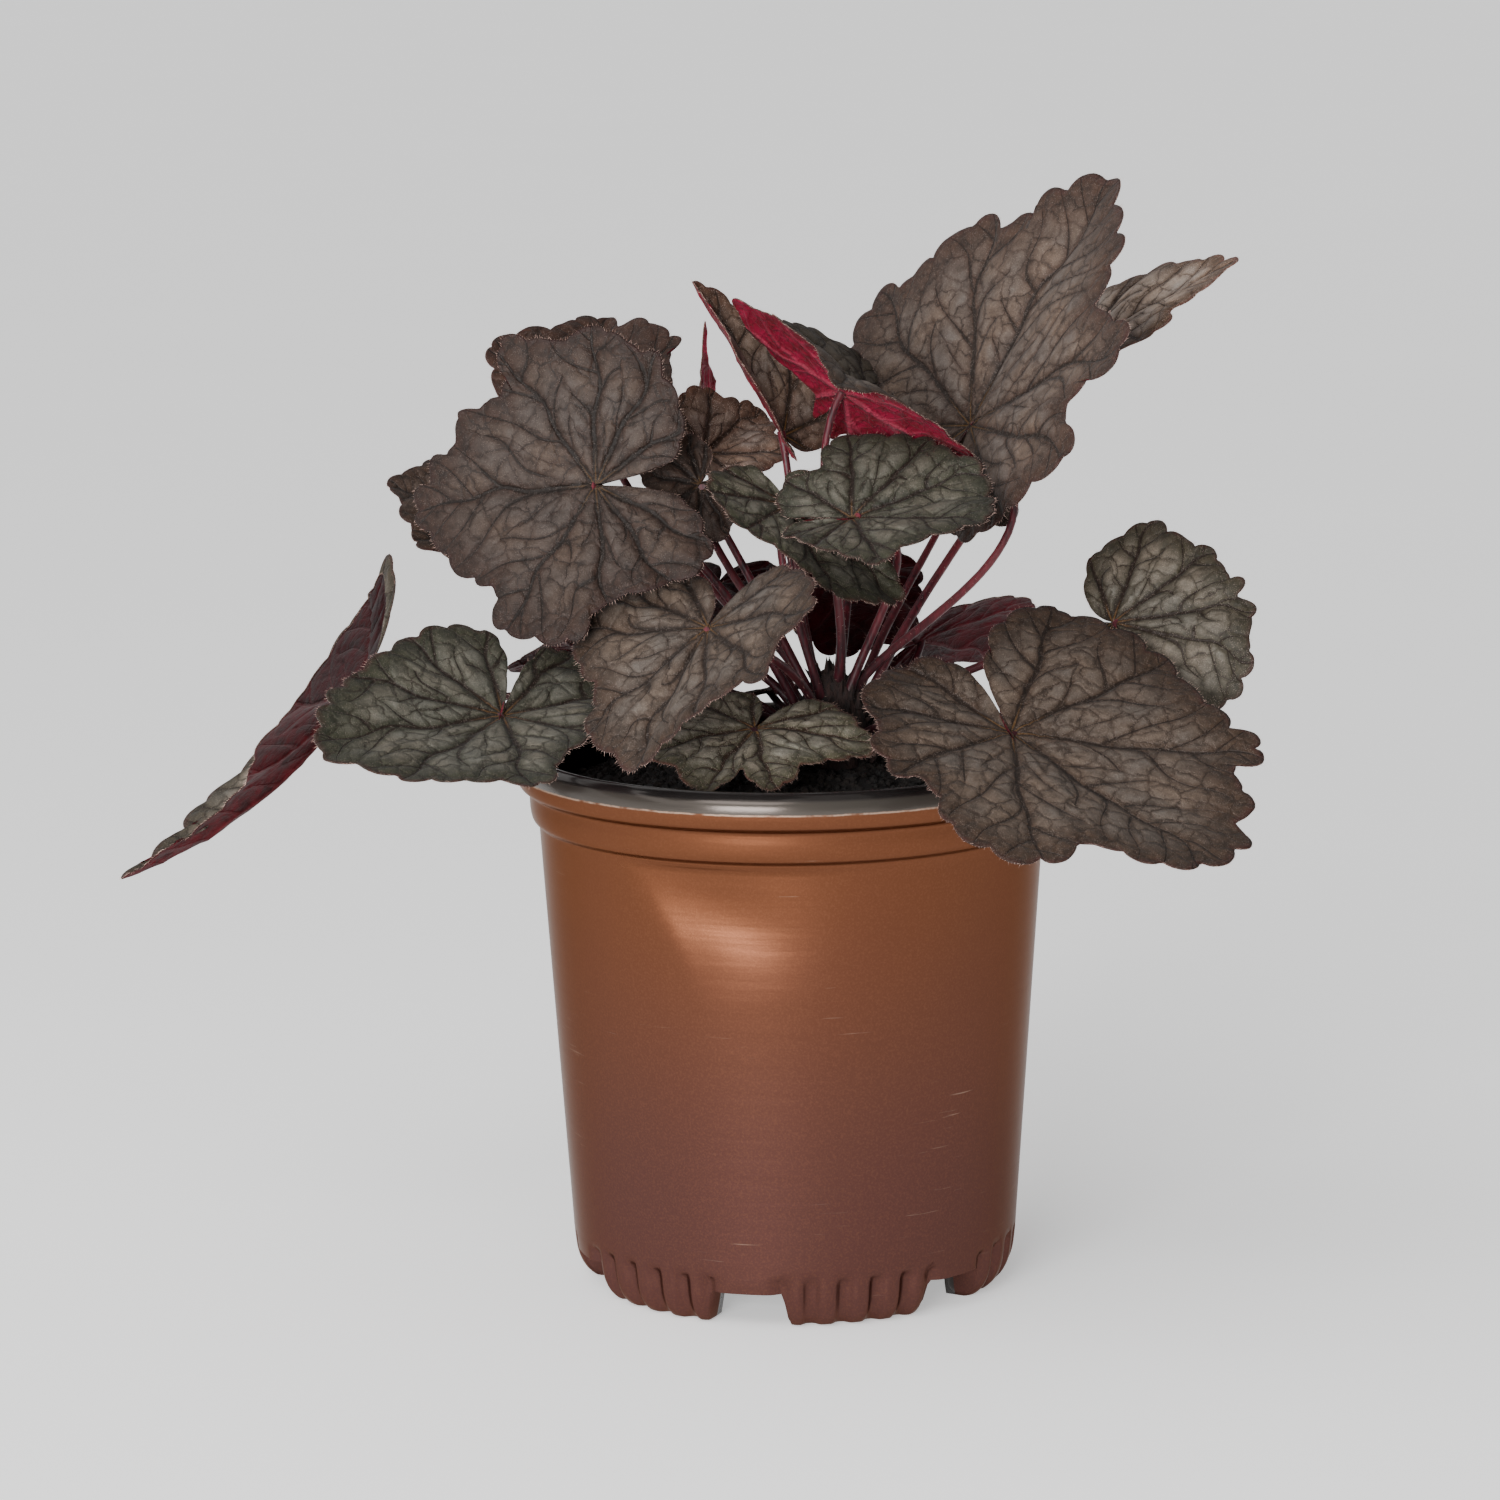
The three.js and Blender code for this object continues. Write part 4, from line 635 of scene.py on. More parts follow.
def ring_faces(outer, inner, per):
    """Faces between a ring and an inner ring with one point for every per points."""
    n, faces = len(outer), []
    if per == 1:
        return [(inner[i], outer[i], outer[(i + 1) % n], inner[(i + 1) % n]) for i in range(n)]
    for i, p in enumerate(inner):
        q = inner[(i + 1) % len(inner)]
        a, b, c = outer[2 * i], outer[2 * i + 1], outer[(2 * i + 2) % n]
        faces += [(p, a, b), (p, b, q), (q, b, c)]
    return faces


def blade_grid(leaf, per_tooth, tooth_depth):
    """Flat points of the fine blade in rings from its edge to its middle, and faces."""
    plain, toothed, centre = blade_edge(leaf, per_tooth, tooth_depth)
    teeth = toothed - plain
    rings = [(1, 1.0), (1, 0.985), (1, 0.965)]
    rings += [(1, s) for s in np.linspace(0.94, 0.62, 12)]
    rings += [(2, s) for s in np.linspace(0.585, 0.27, 9)]
    rings += [(4, s) for s in np.linspace(0.22, 0.05, 5)]
    points, faces, previous, border = [], [], None, []
    total = 0
    for step, share in rings:
        held = plain[::step]
        ring = centre + (held - centre) * share
        ring = ring + teeth[::step] * smooth_step(0.8, 1.0, share)
        index = list(range(total, total + len(ring)))
        if previous is not None:
            faces += ring_faces(previous, index, len(previous) // len(ring))
        points.append(ring)
        border += [share] * len(ring)
        previous, total = index, total + len(ring)
    points.append(centre[None, :])
    border.append(0.0)
    faces += [(total, a, b) for a, b in zip(previous, previous[1:] + previous[:1])]
    return np.concatenate(points), faces, np.array(border), len(plain)


def point_normals(points, faces):
    normals = np.zeros_like(points)
    for size in (3, 4):
        index = np.array([f for f in faces if len(f) == size])
        if len(index):
            cross = np.cross(points[index[:, 1]] - points[index[:, 0]],
                             points[index[:, 2]] - points[index[:, 0]])
            for k in range(size):
                np.add.at(normals, index[:, k], cross)
    return normals / np.linalg.norm(normals, axis=1)[:, None]


def new_piece(name, mesh, materials, smooth=True):
    for material in materials:
        mesh.materials.append(material)
    if smooth:
        mesh.shade_smooth()
    piece = bpy.data.objects.new(name, mesh)
    bpy.context.scene.collection.objects.link(piece)
    return piece


def add_field(mesh, name, columns):
    """A vector stored at every point of the mesh."""
    field = mesh.attributes.new(name, "FLOAT_VECTOR", "POINT")
    field.data.foreach_set("vector", np.stack(columns, 1).astype(np.float32).ravel())


def blade_mesh(leaf, look):
    """A closed blade with fine teeth and relief, and with its vein fields stored on it."""
    flat, faces, share, rim = blade_grid(leaf, look.points_per_tooth, look.tooth_depth)
    x, y = flat.T
    lift, rib, twig = vein_relief(leaf, x, y)
    edge = smooth_step(1.0, 0.9, share)
    lift = lift * edge * look.quilting
    body = blade_place(leaf, x, y, np.zeros_like(x))
    normals = point_normals(body, faces)
    upper = body + normals * (lift - look.vein_depth / MM * (rib + 0.7 * twig) * edge)[:, None]
    thin = look.blade_thickness / MM * (0.65 + 0.35 * edge)
    ridge = look.vein_height / MM * (rib + 0.55 * twig) * edge
    lower = body + normals * (lift * 0.9 - thin - ridge)[:, None]
    n = len(body)
    under = [tuple(n + i for i in reversed(f)) for f in faces]
    skirt = [(a, n + a, n + (a + 1) % rim, (a + 1) % rim) for a in range(rim)]
    mesh = bpy.data.meshes.new(leaf["name"] + "_blade_skin")
    mesh.from_pydata(mm(np.concatenate([upper, lower])).tolist(), [], faces + under + skirt)
    slots = [0] * len(faces) + [1] * len(under) + [0] * len(skirt)
    mesh.polygons.foreach_set("material_index", slots)
    length = leaf_frame(leaf)[4]
    phase, rib_step, branch, branch_step, off, r = vein_fields(leaf, x, y)
    # light is the leaf's factor of painted light and shade.
    silver, green, crimson, light = leaf["skin"]
    twice = lambda a: np.concatenate([a, a])
    same = lambda value: np.full(2 * n, float(value))
    seed = leaf_seed(leaf)
    add_field(mesh, "leaf_plane", [twice(x * length) + 200 * seed, twice(y * length), same(seed)])
    add_field(mesh, "rib_field", [twice(phase), twice(rib_step), twice(r)])
    add_field(mesh, "branch_field", [twice(branch), twice(branch_step), twice(share)])
    add_field(mesh, "skin_tone", [same(silver), same(green), same(crimson)])
    add_field(mesh, "painted_leaf_light", [same(light), same(0), same(0)])
    return mesh


def petiole_path(leaf, count):
    """Where a petiole runs: from its row on the crown to just under the blade."""
    base, along, left, normal, _ = leaf_frame(leaf)
    azimuth, row = leaf["root"]
    radius, z = ROWS[row]
    out = np.array([math.cos(math.radians(azimuth)), math.sin(math.radians(azimuth)), 0])
    start = np.array([*CROWN_CENTRE, z]) + out * radius
    arrival = PETIOLE_ARRIVAL[0] * normal + PETIOLE_ARRIVAL[1] * along
    if "reach" in leaf:
        arrival = -np.array(leaf["reach"], float)
    arrival = unit(arrival)
    tilt = math.sqrt(max(0.0, 1 - arrival.dot(normal) ** 2))
    drop = BLADE_CORE + GAP + PETIOLE_SEAT + PETIOLE_RADIUS * tilt
    end = base - normal * drop + along * PETIOLE_FORWARD
    span = np.linalg.norm(end - start)
    first = start + out * span * PETIOLE_SPREAD + np.array([0, 0, span * PETIOLE_RISE])
    if "rise" in leaf:
        first = start + np.array(leaf["rise"], float)
    second = end - arrival * span * PETIOLE_REACH
    if "reach" in leaf:
        second = end + np.array(leaf["reach"], float)
    end = base - normal * (BLADE_CORE * 0.5) + along * PETIOLE_FORWARD
    t = np.linspace(0, 1, count)[:, None]
    s = 1 - t
    return s ** 3 * start + 3 * s * s * t * first + 3 * s * t * t * second + t ** 3 * end


class NodeTree:
    """A small helper that lays nodes into a tree and links their sockets by name."""

    def __init__(self, tree):
        self.tree = tree
        self.across = 0

    def add(self, kind, **values):
        node = self.tree.nodes.new(kind)
        self.across += 180
        node.location = (self.across, -(self.across // 1800) * 40)
        inputs = values.pop("inputs", {})
        for key, value in values.items():
            setattr(node, key, value)
        for key, value in inputs.items():
            self.feed(node.inputs[key], value)
        return node

    def feed(self, socket, value):
        if isinstance(value, bpy.types.NodeSocket):
            self.tree.links.new(value, socket)
        elif isinstance(value, bpy.types.Node):
            self.tree.links.new(value.outputs[0], socket)
        else:
            socket.default_value = value

    def maths(self, operation, *values, clamp=False):
        return self.add("ShaderNodeMath", operation=operation, use_clamp=clamp,
                        inputs=dict(enumerate(values))).outputs[0]

    def fade(self, value, low, high, bottom=0.0, top=1.0):
        """A smooth change from bottom to top as value goes from low to high."""
        return self.ramp(value, low, high, bottom, top, "SMOOTHSTEP").outputs[0]

    def ramp(self, value, low, high, bottom, top, kind="LINEAR"):
        return self.add("ShaderNodeMapRange", interpolation_type=kind, inputs={
            "Value": value, "From Min": low, "From Max": high, "To Min": bottom, "To Max": top})

    def blend(self, amount, first, second, kind="MIX"):
        return self.add("ShaderNodeMix", data_type="RGBA", blend_type=kind,
                        inputs={0: amount, 6: first, 7: second}).outputs[2]

    def noise(self, vector, scale, detail=2.0, roughness=0.5):
        return self.add("ShaderNodeTexNoise", inputs={
            "Vector": vector, "Scale": scale, "Detail": detail, "Roughness": roughness,
        }).outputs["Fac"]

    def parts(self, vector):
        return self.add("ShaderNodeSeparateXYZ", inputs={0: vector}).outputs

    def chain(self, operation, first, *values):
        for value in values:
            first = self.maths(operation, first, value)
        return first

    def times(self, *values):
        return self.chain("MULTIPLY", *values)

    def plus(self, *values):
        return self.chain("ADD", *values)

    def place(self):
        """Where a point is on its piece, in metres."""
        return self.add("ShaderNodeTexCoord").outputs["Object"]

    def stretched(self, place, scale):
        return self.add("ShaderNodeMapping", inputs={"Vector": place, "Scale": scale})

    def cells(self, vector, scale, feature="DISTANCE_TO_EDGE", randomness=0.92):
        """Distance in a flat pattern of random cells."""
        return self.add("ShaderNodeTexVoronoi", feature=feature, voronoi_dimensions="2D", inputs={
            "Vector": vector, "Scale": scale, "Randomness": randomness}).outputs["Distance"]

    def vector(self, operation, *values):
        return self.add("ShaderNodeVectorMath", operation=operation, inputs=dict(enumerate(values)))

    def scaled(self, vector, scale):
        return self.add("ShaderNodeVectorMath", operation="SCALE",
                        inputs={0: vector, "Scale": scale})

    def finish(self, shader, **sockets):
        """Set or link the shader's sockets, named with _ for each space."""
        for key, value in sockets.items():
            self.feed(shader.inputs[key.replace("_", " ")], value)

    def bump(self, shader, height, strength, distance, **inputs):
        """Relief of the given height, in shares of the distance."""
        node = self.add("ShaderNodeBump", inputs={
            "Height": height, "Strength": strength, "Distance": distance, **inputs})
        self.feed(shader.inputs["Normal"], node)


def linear(red, green, blue):
    """Linear colour from 0 to 255 screen values."""
    def value(c):
        c = c / 255
        return c / 12.92 if c <= 0.04045 else ((c + 0.055) / 1.055) ** 2.4
    return (value(red), value(green), value(blue), 1.0)


def shader_tree(name):
    material = bpy.data.materials.new(name)
    material.use_nodes = True
    material.node_tree.nodes.clear()
    nodes = NodeTree(material.node_tree)
    shader = nodes.add("ShaderNodeBsdfPrincipled")
    output = nodes.add("ShaderNodeOutputMaterial")
    nodes.tree.links.new(shader.outputs[0], output.inputs[0])
    return material, nodes, shader


def field(nodes, name):
    return nodes.add("ShaderNodeAttribute", attribute_name=name).outputs["Vector"]


def vein_masks(nodes, width):
    """Main ribs, their branches and the net between them, each from 0 to 1."""
    phase, step, r = nodes.parts(field(nodes, "rib_field"))
    branch, branch_step, reach = nodes.parts(field(nodes, "branch_field"))
    plane = field(nodes, "leaf_plane")
    rib_mm = nodes.times(nodes.maths("PINGPONG", phase, 0.5), step)
    twig_mm = nodes.times(nodes.maths("PINGPONG", branch, 0.5), branch_step)
    uneven = nodes.fade(nodes.noise(plane, 0.3, 3, 0.6), 0.25, 0.75, 0.6, 1.4)
    thick = nodes.times(nodes.fade(r, 0.0, 1.0, 1.25, 0.5), uneven, width)
    rib = nodes.fade(rib_mm, nodes.times(thick, 0.35), nodes.times(thick, 1.15), 1.0, 0.0)
    between = nodes.times(nodes.maths("PINGPONG", phase, 0.5), 2.0)
    fine = nodes.times(thick, nodes.fade(between, 0.0, 0.95, 0.85, 0.32))
    twig = nodes.fade(twig_mm, nodes.times(fine, 0.3), nodes.times(fine, 1.2), 1.0, 0.0)
    twig = nodes.times(twig, nodes.fade(r, 0.14, 0.34))
    shift = nodes.add("ShaderNodeTexNoise", inputs={"Vector": plane, "Scale": 0.3, "Detail": 3.0})
    warp = nodes.vector("MULTIPLY_ADD", shift.outputs["Color"], (4.2, 4.2, 0), plane)
    net = nodes.cells(warp, NET_SCALE)
    near = nodes.fade(uneven, 0.6, 1.4, 0.032, 0.064)
    mesh = nodes.fade(net, nodes.times(near, 0.35), near, 1.0, 0.0)
    mesh = nodes.times(mesh, nodes.fade(nodes.noise(plane, 0.11, 2), 0.35, 0.6, 0.35, 1.0))
    lace = nodes.fade(nodes.cells(warp, LACE_SCALE), 0.0, 0.14, 1.0, 0.0)
    return dict(rib=rib, twig=twig, mesh=mesh, lace=lace, rib_mm=rib_mm, twig_mm=twig_mm,
                r=r, reach=reach, plane=plane, cell=net)


def with_painted_leaf_light(nodes, colour):
    """The colour, made lighter or darker by the leaf's factor of painted light and shade."""
    light, _, _ = nodes.parts(field(nodes, "painted_leaf_light"))
    grey = nodes.add("ShaderNodeCombineColor", inputs={0: light, 1: light, 2: light})
    return nodes.blend(1.0, colour, grey.outputs[0], kind="MULTIPLY")


def upper_skin_material(look):
    """Silvery leaf surface with soft dark veins, dusky margins and pale speckles."""
    material, nodes, shader = shader_tree("upper_leaf_skin")
    v = vein_masks(nodes, look.vein_width / MM)
    silver, green, _ = nodes.parts(field(nodes, "skin_tone"))
    patches = nodes.noise(v["plane"], 0.06, 4, 0.6)
    cloud = nodes.noise(v["plane"], 0.24, 4, 0.65)
    grain = nodes.noise(v["plane"], 2.2, 3, 0.65)
    bronze = nodes.blend(nodes.fade(cloud, 0.3, 0.7), look.bronze_dark, look.bronze)
    leafy = nodes.blend(nodes.fade(cloud, 0.3, 0.7), look.green_dark, look.green_tint)
    bronze = nodes.blend(nodes.times(green, 0.85), bronze, leafy)
    sheen = nodes.blend(nodes.fade(patches, 0.35, 0.65), look.silver_warm, look.silver_cool)
    sheen = nodes.blend(nodes.times(green, 0.6), sheen, look.silver_green)
    amount = nodes.times(nodes.fade(cloud, 0.25, 0.72, 0.5, 1.3), silver,
                         nodes.fade(grain, 0.3, 0.7, 0.72, 1.28))
    halo_rib = nodes.fade(v["rib_mm"], 0.3, 3.6, 0.16, 1.0)
    halo_twig = nodes.fade(v["twig_mm"], 0.2, 2.2, 0.36, 1.0)
    halo_net = nodes.fade(v["cell"], 0.0, 0.2, 0.58, 1.06)
    amount = nodes.times(amount, halo_rib, halo_twig, halo_net)
    amount = nodes.maths("MULTIPLY", amount, nodes.fade(v["reach"], 0.66, 0.96, 1.0, 0.05),
                         clamp=True)
    colour = nodes.blend(amount, bronze, sheen)
    colour = nodes.blend(nodes.times(v["lace"], 0.09), colour, look.vein_colour)
    colour = nodes.blend(nodes.times(v["mesh"], 0.66), colour, look.vein_colour)
    dark = nodes.maths("MAXIMUM", v["rib"], nodes.times(v["twig"], 0.9))
    colour = nodes.blend(nodes.times(dark, 0.95), colour, look.vein_colour)
    near_base = nodes.fade(v["r"], 0.02, 0.2, 1.0, 0.0)
    thread = nodes.times(nodes.fade(v["rib_mm"], 0.05, 0.4, 1.0, 0.0), near_base)
    colour = nodes.blend(nodes.times(thread, 0.6), colour, look.thread_colour)
    ruddy = nodes.fade(v["reach"], 0.95, 1.0, 0.0, 1.0)
    ruddy = nodes.times(ruddy, nodes.fade(cloud, 0.35, 0.65, 0.2, 0.85))
    colour = nodes.blend(ruddy, colour, look.margin_colour)
    dot = nodes.fade(nodes.cells(v["plane"], SPECKLE_SCALE, "F1", 1.0), 0.08, 0.24, 1.0, 0.0)
    dot = nodes.times(dot, nodes.fade(nodes.noise(v["plane"], 0.8, 2), 0.42, 0.62))
    colour = nodes.blend(nodes.times(dot, 0.45), colour, look.speckle)
    # The base colour carries the leaf's painted light and shade.
    nodes.finish(shader, Base_Color=with_painted_leaf_light(nodes, colour), Specular_IOR_Level=0.2,
                 Roughness=nodes.fade(grain, 0.2, 0.8, 0.46, 0.68), Sheen_Weight=0.03,
                 Sheen_Roughness=0.5)
    height = nodes.plus(nodes.fade(v["cell"], 0.0, 0.2, 0.0, 0.55), nodes.times(v["lace"], -0.1),
                        nodes.times(grain, 0.3), nodes.times(dark, -0.5))
    nodes.bump(shader, height, 0.7, 0.0006)
    return material


def lower_skin_material(look):
    """Burgundy underside with raised, paler ribs and a crimped net between them."""
    material, nodes, shader = shader_tree("lower_leaf_skin")
    v = vein_masks(nodes, look.vein_width / MM * 1.25)
    _, _, crimson = nodes.parts(field(nodes, "skin_tone"))
    cloud = nodes.noise(v["plane"], 0.16, 4, 0.6)
    dusky = nodes.blend(nodes.fade(cloud, 0.3, 0.7), look.maroon_dark, look.maroon)
    # Crimson is partly the underside's own red and partly painted light shining through the blade.
    crimson_painted_backlight = nodes.blend(nodes.fade(cloud, 0.25, 0.75), look.maroon, look.crimson)
    colour = nodes.blend(crimson, dusky, crimson_painted_backlight)
    colour = nodes.blend(nodes.times(v["mesh"], 0.3), colour, look.maroon_dark)
    ridge = nodes.maths("MAXIMUM", v["rib"], nodes.times(v["twig"], 0.6))
    ridge_colour = nodes.blend(crimson, look.rib_dusky, look.rib_pink)
    colour = nodes.blend(nodes.times(ridge, 0.4), colour, ridge_colour)
    # The base colour carries the leaf's painted light and shade.
    nodes.finish(shader, Base_Color=with_painted_leaf_light(nodes, colour), Specular_IOR_Level=0.09,
                 Roughness=nodes.fade(cloud, 0.2, 0.8, 0.5, 0.64), Sheen_Weight=0.02,
                 Sheen_Roughness=0.45)
    height = nodes.plus(nodes.fade(v["cell"], 0.0, 0.2, 0.75, 0.0), nodes.times(v["lace"], 0.45))
    height = nodes.times(height, nodes.fade(crimson, 0.0, 1.0, 0.2, 1.0))
    height = nodes.plus(height, nodes.times(ridge, 0.8))
    nodes.bump(shader, height, 0.7, 0.0008)
    return material


def petiole_material(look):
    """Dark red stalk skin, darker in streaks, with painted shade near the crown, paler in stretches."""
    material, nodes, shader = shader_tree("petiole_skin")
    place = nodes.place()
    stretch = nodes.stretched(place, (900, 900, 90))
    streak = nodes.noise(stretch, 1.0, 3, 0.6)
    spread = nodes.noise(place, 26.0, 2, 0.5)
    colour = nodes.blend(nodes.fade(streak, 0.3, 0.7), look.stalk_dark, look.stalk_red)
    colour = nodes.blend(nodes.fade(spread, 0.48, 0.66, 0.0, 0.5), colour, look.stalk_pink)
    _, _, up = nodes.parts(place)
    # Painted shade: the stalks darken towards the crown, where the leaves shade them.
    low = nodes.fade(up, 0.17, 0.215, 0.9, 0.0)
    colour = nodes.blend(low, colour, look.stalk_dark)
    nodes.finish(shader, Base_Color=colour, Roughness=0.45, Specular_IOR_Level=0.35,
                 Sheen_Weight=0.08, Sheen_Roughness=0.4)
    nodes.bump(shader, streak, 0.35, 0.0003)
    return material


def hair_material(look):
    """Fine hairs, some paler and some pinker."""
    material, nodes, shader = shader_tree("pale_hair")
    colour = nodes.blend(nodes.noise(nodes.place(), 300.0, 1), look.hair_pink, look.hair_pale)
    nodes.finish(shader, Base_Color=colour, Roughness=0.55, Sheen_Weight=0.1)
    return material


def mix_material():
    """Damp peat: near-black crumbs with brown fibres and a few pale grains."""
    material, nodes, shader = shader_tree("damp_growing_mix")
    place = nodes.place()
    coarse = nodes.noise(place, 180.0, 5, 0.7)
    colour = nodes.blend(nodes.fade(coarse, 0.35, 0.7), linear(9, 7, 6), linear(34, 25, 20))
    grain = nodes.add("ShaderNodeTexVoronoi", inputs={"Vector": place, "Scale": 420.0})
    pale = nodes.fade(grain.outputs["Distance"], 0.1, 0.2, 1.0, 0.0)
    sparse = nodes.fade(nodes.noise(place, 130.0, 1), 0.6, 0.68)
    colour = nodes.blend(nodes.times(pale, sparse), colour, linear(96, 84, 70))
    nodes.finish(shader, Base_Color=colour, Roughness=nodes.fade(coarse, 0.3, 0.7, 0.75, 0.98))
    nodes.bump(shader, coarse, 1.0, 0.0015)
    return material


def crown_material():
    """Woody brown crown with fibrous streaks."""
    material, nodes, shader = shader_tree("woody_crown")
    fibre = nodes.noise(nodes.stretched(nodes.place(), (700, 700, 160)), 1.0, 4, 0.65)
    colour = nodes.blend(nodes.fade(fibre, 0.3, 0.7), linear(16, 9, 8), linear(46, 26, 21))
    nodes.finish(shader, Base_Color=colour, Roughness=0.85)
    nodes.bump(shader, fibre, 1.0, 0.0012)
    return material


def from_axis(nodes, place):
    """A point's three distances from the foot of the pot's axis, in metres."""
    x, y, z = nodes.parts(place)
    return (nodes.maths("SUBTRACT", x, POT_AXIS[0] * MM),
            nodes.maths("SUBTRACT", y, POT_AXIS[1] * MM), z)


def facet_height(nodes, place, look):
    """Relief, in metres, that leans the patch right of the slanting crease towards the front."""
    x, y, z = from_axis(nodes, place)
    start, end = (height * MM for height in FACET_CREASE_Z)
    crease = nodes.fade(z, start, end, *np.radians(FACET_CREASE_ANGLE).tolist())
    off = nodes.times(nodes.maths("SUBTRACT", nodes.maths("ARCTAN2", y, x), crease),
                      DENT_WALL_RADIUS * MM)
    t = nodes.fade(off, 0.0, FACET_WIDTH * MM)
    rest = nodes.maths("SUBTRACT", 1.0, t)
    up = nodes.fade(z, *(height * MM for height in FACET_START_Z))
    below = nodes.maths("LESS_THAN", z, FACET_END_Z * MM)
    return nodes.times(rest, rest, t, up, up, below, -FACET_WIDTH * MM * look.facet_lean)


def pot_material(look):
    """Copper-brown satin coat over black plastic, with a ragged pale edge at its top."""
    material, nodes, shader = shader_tree("copper_coated_plastic")
    place = nodes.place()
    x, y, z = from_axis(nodes, place)
    radius = nodes.maths("SQRT", nodes.plus(nodes.times(x, x), nodes.times(y, y)))
    ragged = nodes.noise(place, 260.0, 4, 0.75)
    high = nodes.plus(z, nodes.fade(ragged, 0.2, 0.8, -0.00012, 0.00012))
    top = COAT_TOP_Z * MM
    coat = nodes.fade(high, top - 0.00015, top + 0.00015, 1.0, 0.0)
    # Together these give the radius between the wall's two faces, at each height.
    wall = nodes.ramp(z, 0.0215, 0.147, 0.068, 0.0765)
    bead = nodes.ramp(z, 0.147, 0.153, 0.0, 0.0039)
    foot = nodes.ramp(z, 0.0205, 0.0215, -0.0097, 0.0)
    outside = nodes.maths("GREATER_THAN", radius, nodes.plus(wall, bead, foot))
    coat = nodes.times(coat, outside)
    broad = nodes.noise(place, 9.0, 3, 0.5)
    # Partly painted light from above: the coat lightens towards the shoulder and darkens towards the
    # foot, where it also turns more purple.
    base = nodes.blend(nodes.fade(z, 0.02, 0.15), look.coat_lower_painted_shade, look.coat_upper_painted_light)
    base = nodes.blend(nodes.fade(broad, 0.3, 0.7, 0.0, 0.3), base, look.coat_mid)
    flecks = nodes.noise(place, 1500.0, 2, 0.6)
    base = nodes.blend(nodes.fade(flecks, 0.4, 0.75, 0.0, 0.16), base, look.coat_fleck)
    level = nodes.stretched(place, (35, 35, 900))
    scratch = nodes.fade(nodes.noise(level, 1.0, 3, 0.6), 0.66, 0.76)
    rubbed = nodes.times(scratch, nodes.fade(nodes.noise(place, 22.0, 2), 0.5, 0.62))
    base = nodes.blend(nodes.times(rubbed, 0.32), base, look.coat_edge)
    strip = nodes.times(nodes.fade(high, top - 0.0007, top - 0.0003),
                        nodes.fade(nodes.noise(place, 140.0, 3, 0.7), 0.3, 0.55))
    base = nodes.blend(nodes.times(strip, 0.7), base, look.coat_edge)
    black = nodes.blend(nodes.noise(place, 60.0, 2), look.lip_black, look.lip_grey)
    # Painted reflection: a grey band on the lower outer face of the black lip.
    painted_lip_reflection = nodes.times(nodes.fade(z, 0.1668, 0.1678, 1.0, 0.0), outside,
                       nodes.fade(broad, 0.2, 0.8, 0.5, 1.0))
    black = nodes.blend(painted_lip_reflection, black, look.lip_painted_reflection)
    rough = nodes.fade(broad, 0.2, 0.8, look.coat_roughness - 0.03, look.coat_roughness + 0.05)
    mixed = nodes.add("ShaderNodeMix", data_type="FLOAT",
                      inputs={0: coat, 2: LIP_ROUGHNESS, 3: rough})
    nodes.finish(shader, Base_Color=nodes.blend(coat, black, base), Roughness=mixed,
                 Metallic=nodes.times(coat, 0.88), Specular_IOR_Level=0.85,
                 Specular_Tint=linear(196, 182, 174))
    facet = nodes.add("ShaderNodeBump", inputs={
        "Height": facet_height(nodes, place, look), "Strength": 1.0, "Distance": 1.0})
    ripple = nodes.stretched(place, (14, 14, 240))
    height = nodes.maths("ADD", nodes.noise(ripple, 1.0, 3, 0.5),
                         nodes.times(flecks, 0.12))
    nodes.bump(shader, height, 0.16, 0.0006, Normal=facet)
    return material


def smooth_path(points, per_span):
    """Catmull-Rom points through a given profile, ends included."""
    p = np.array(points, float)
    held = np.concatenate([[2 * p[0] - p[1]], p, [2 * p[-1] - p[-2]]])
    rows = []
    for i in range(len(p) - 1):
        a, b, c, d = held[i:i + 4]
        for t in np.arange(per_span) / per_span:
            rows.append(0.5 * ((2 * b) + (c - a) * t + (2 * a - 5 * b + 4 * c - d) * t ** 2
                               + (3 * b - a - 3 * c + d) * t ** 3))
    rows.append(p[-1])
    return np.array(rows)


def angle_from(azimuth, centre):
    return (azimuth - centre + 180) % 360 - 180


def foot_floor(azimuth):
    """Height of the foot's lower edge: 0 on the feet, raised over the notches."""
    floor = np.zeros_like(azimuth)
    for k in range(NOTCHES):
        off = np.abs(angle_from(azimuth, NOTCH_FIRST + k * 360 / NOTCHES))
        floor = np.maximum(floor, smooth_step(NOTCH_HALF_ANGLE + NOTCH_EASE, NOTCH_HALF_ANGLE, off))
    return floor * (RECESS_Z - 0.1)


def flute_depth(azimuth, z):
    """How far the grooves of the foot sink below its ridges."""
    depth = np.zeros_like(azimuth)
    pitch = 360 / NOTCHES
    for k in range(NOTCHES):
        middle = NOTCH_FIRST + (k + 0.5) * pitch
        for g in range(GROOVES):
            off = angle_from(azimuth, middle + (g - (GROOVES - 1) / 2) * GROOVE_PITCH)
            depth = np.maximum(depth, np.exp(-(off / GROOVE_HALF_ANGLE) ** 4))
        for g in (-1, 1):
            off = angle_from(azimuth, middle + g * (pitch / 2 - NOTCH_HALF_ANGLE - 0.5))
            side = NOTCH_GROOVE_SHARE * np.exp(-(off / NOTCH_GROOVE_HALF_ANGLE) ** 2)
            depth = np.maximum(depth, side)
    return depth * GROOVE_DEPTH * smooth_step(*GROOVE_FADE_Z, z)


def dent_share(azimuth, z):
    """How deep the flattened patch right of the slanting crease is, from 0 to 1."""
    off = np.radians(angle_from(azimuth, np.interp(z, CREASE_Z, CREASE_ANGLE))) * DENT_WALL_RADIUS
    off = (off + np.sqrt(off ** 2 + CREASE_SOFTNESS)) / 2
    width = np.interp(z, DENT_WIDTH_Z, DENT_WIDTH)
    deep = smooth_step(*DENT_START_Z, z) * smooth_step(*DENT_END_Z, z)
    return deep * off / width * np.exp(1 - off / width)


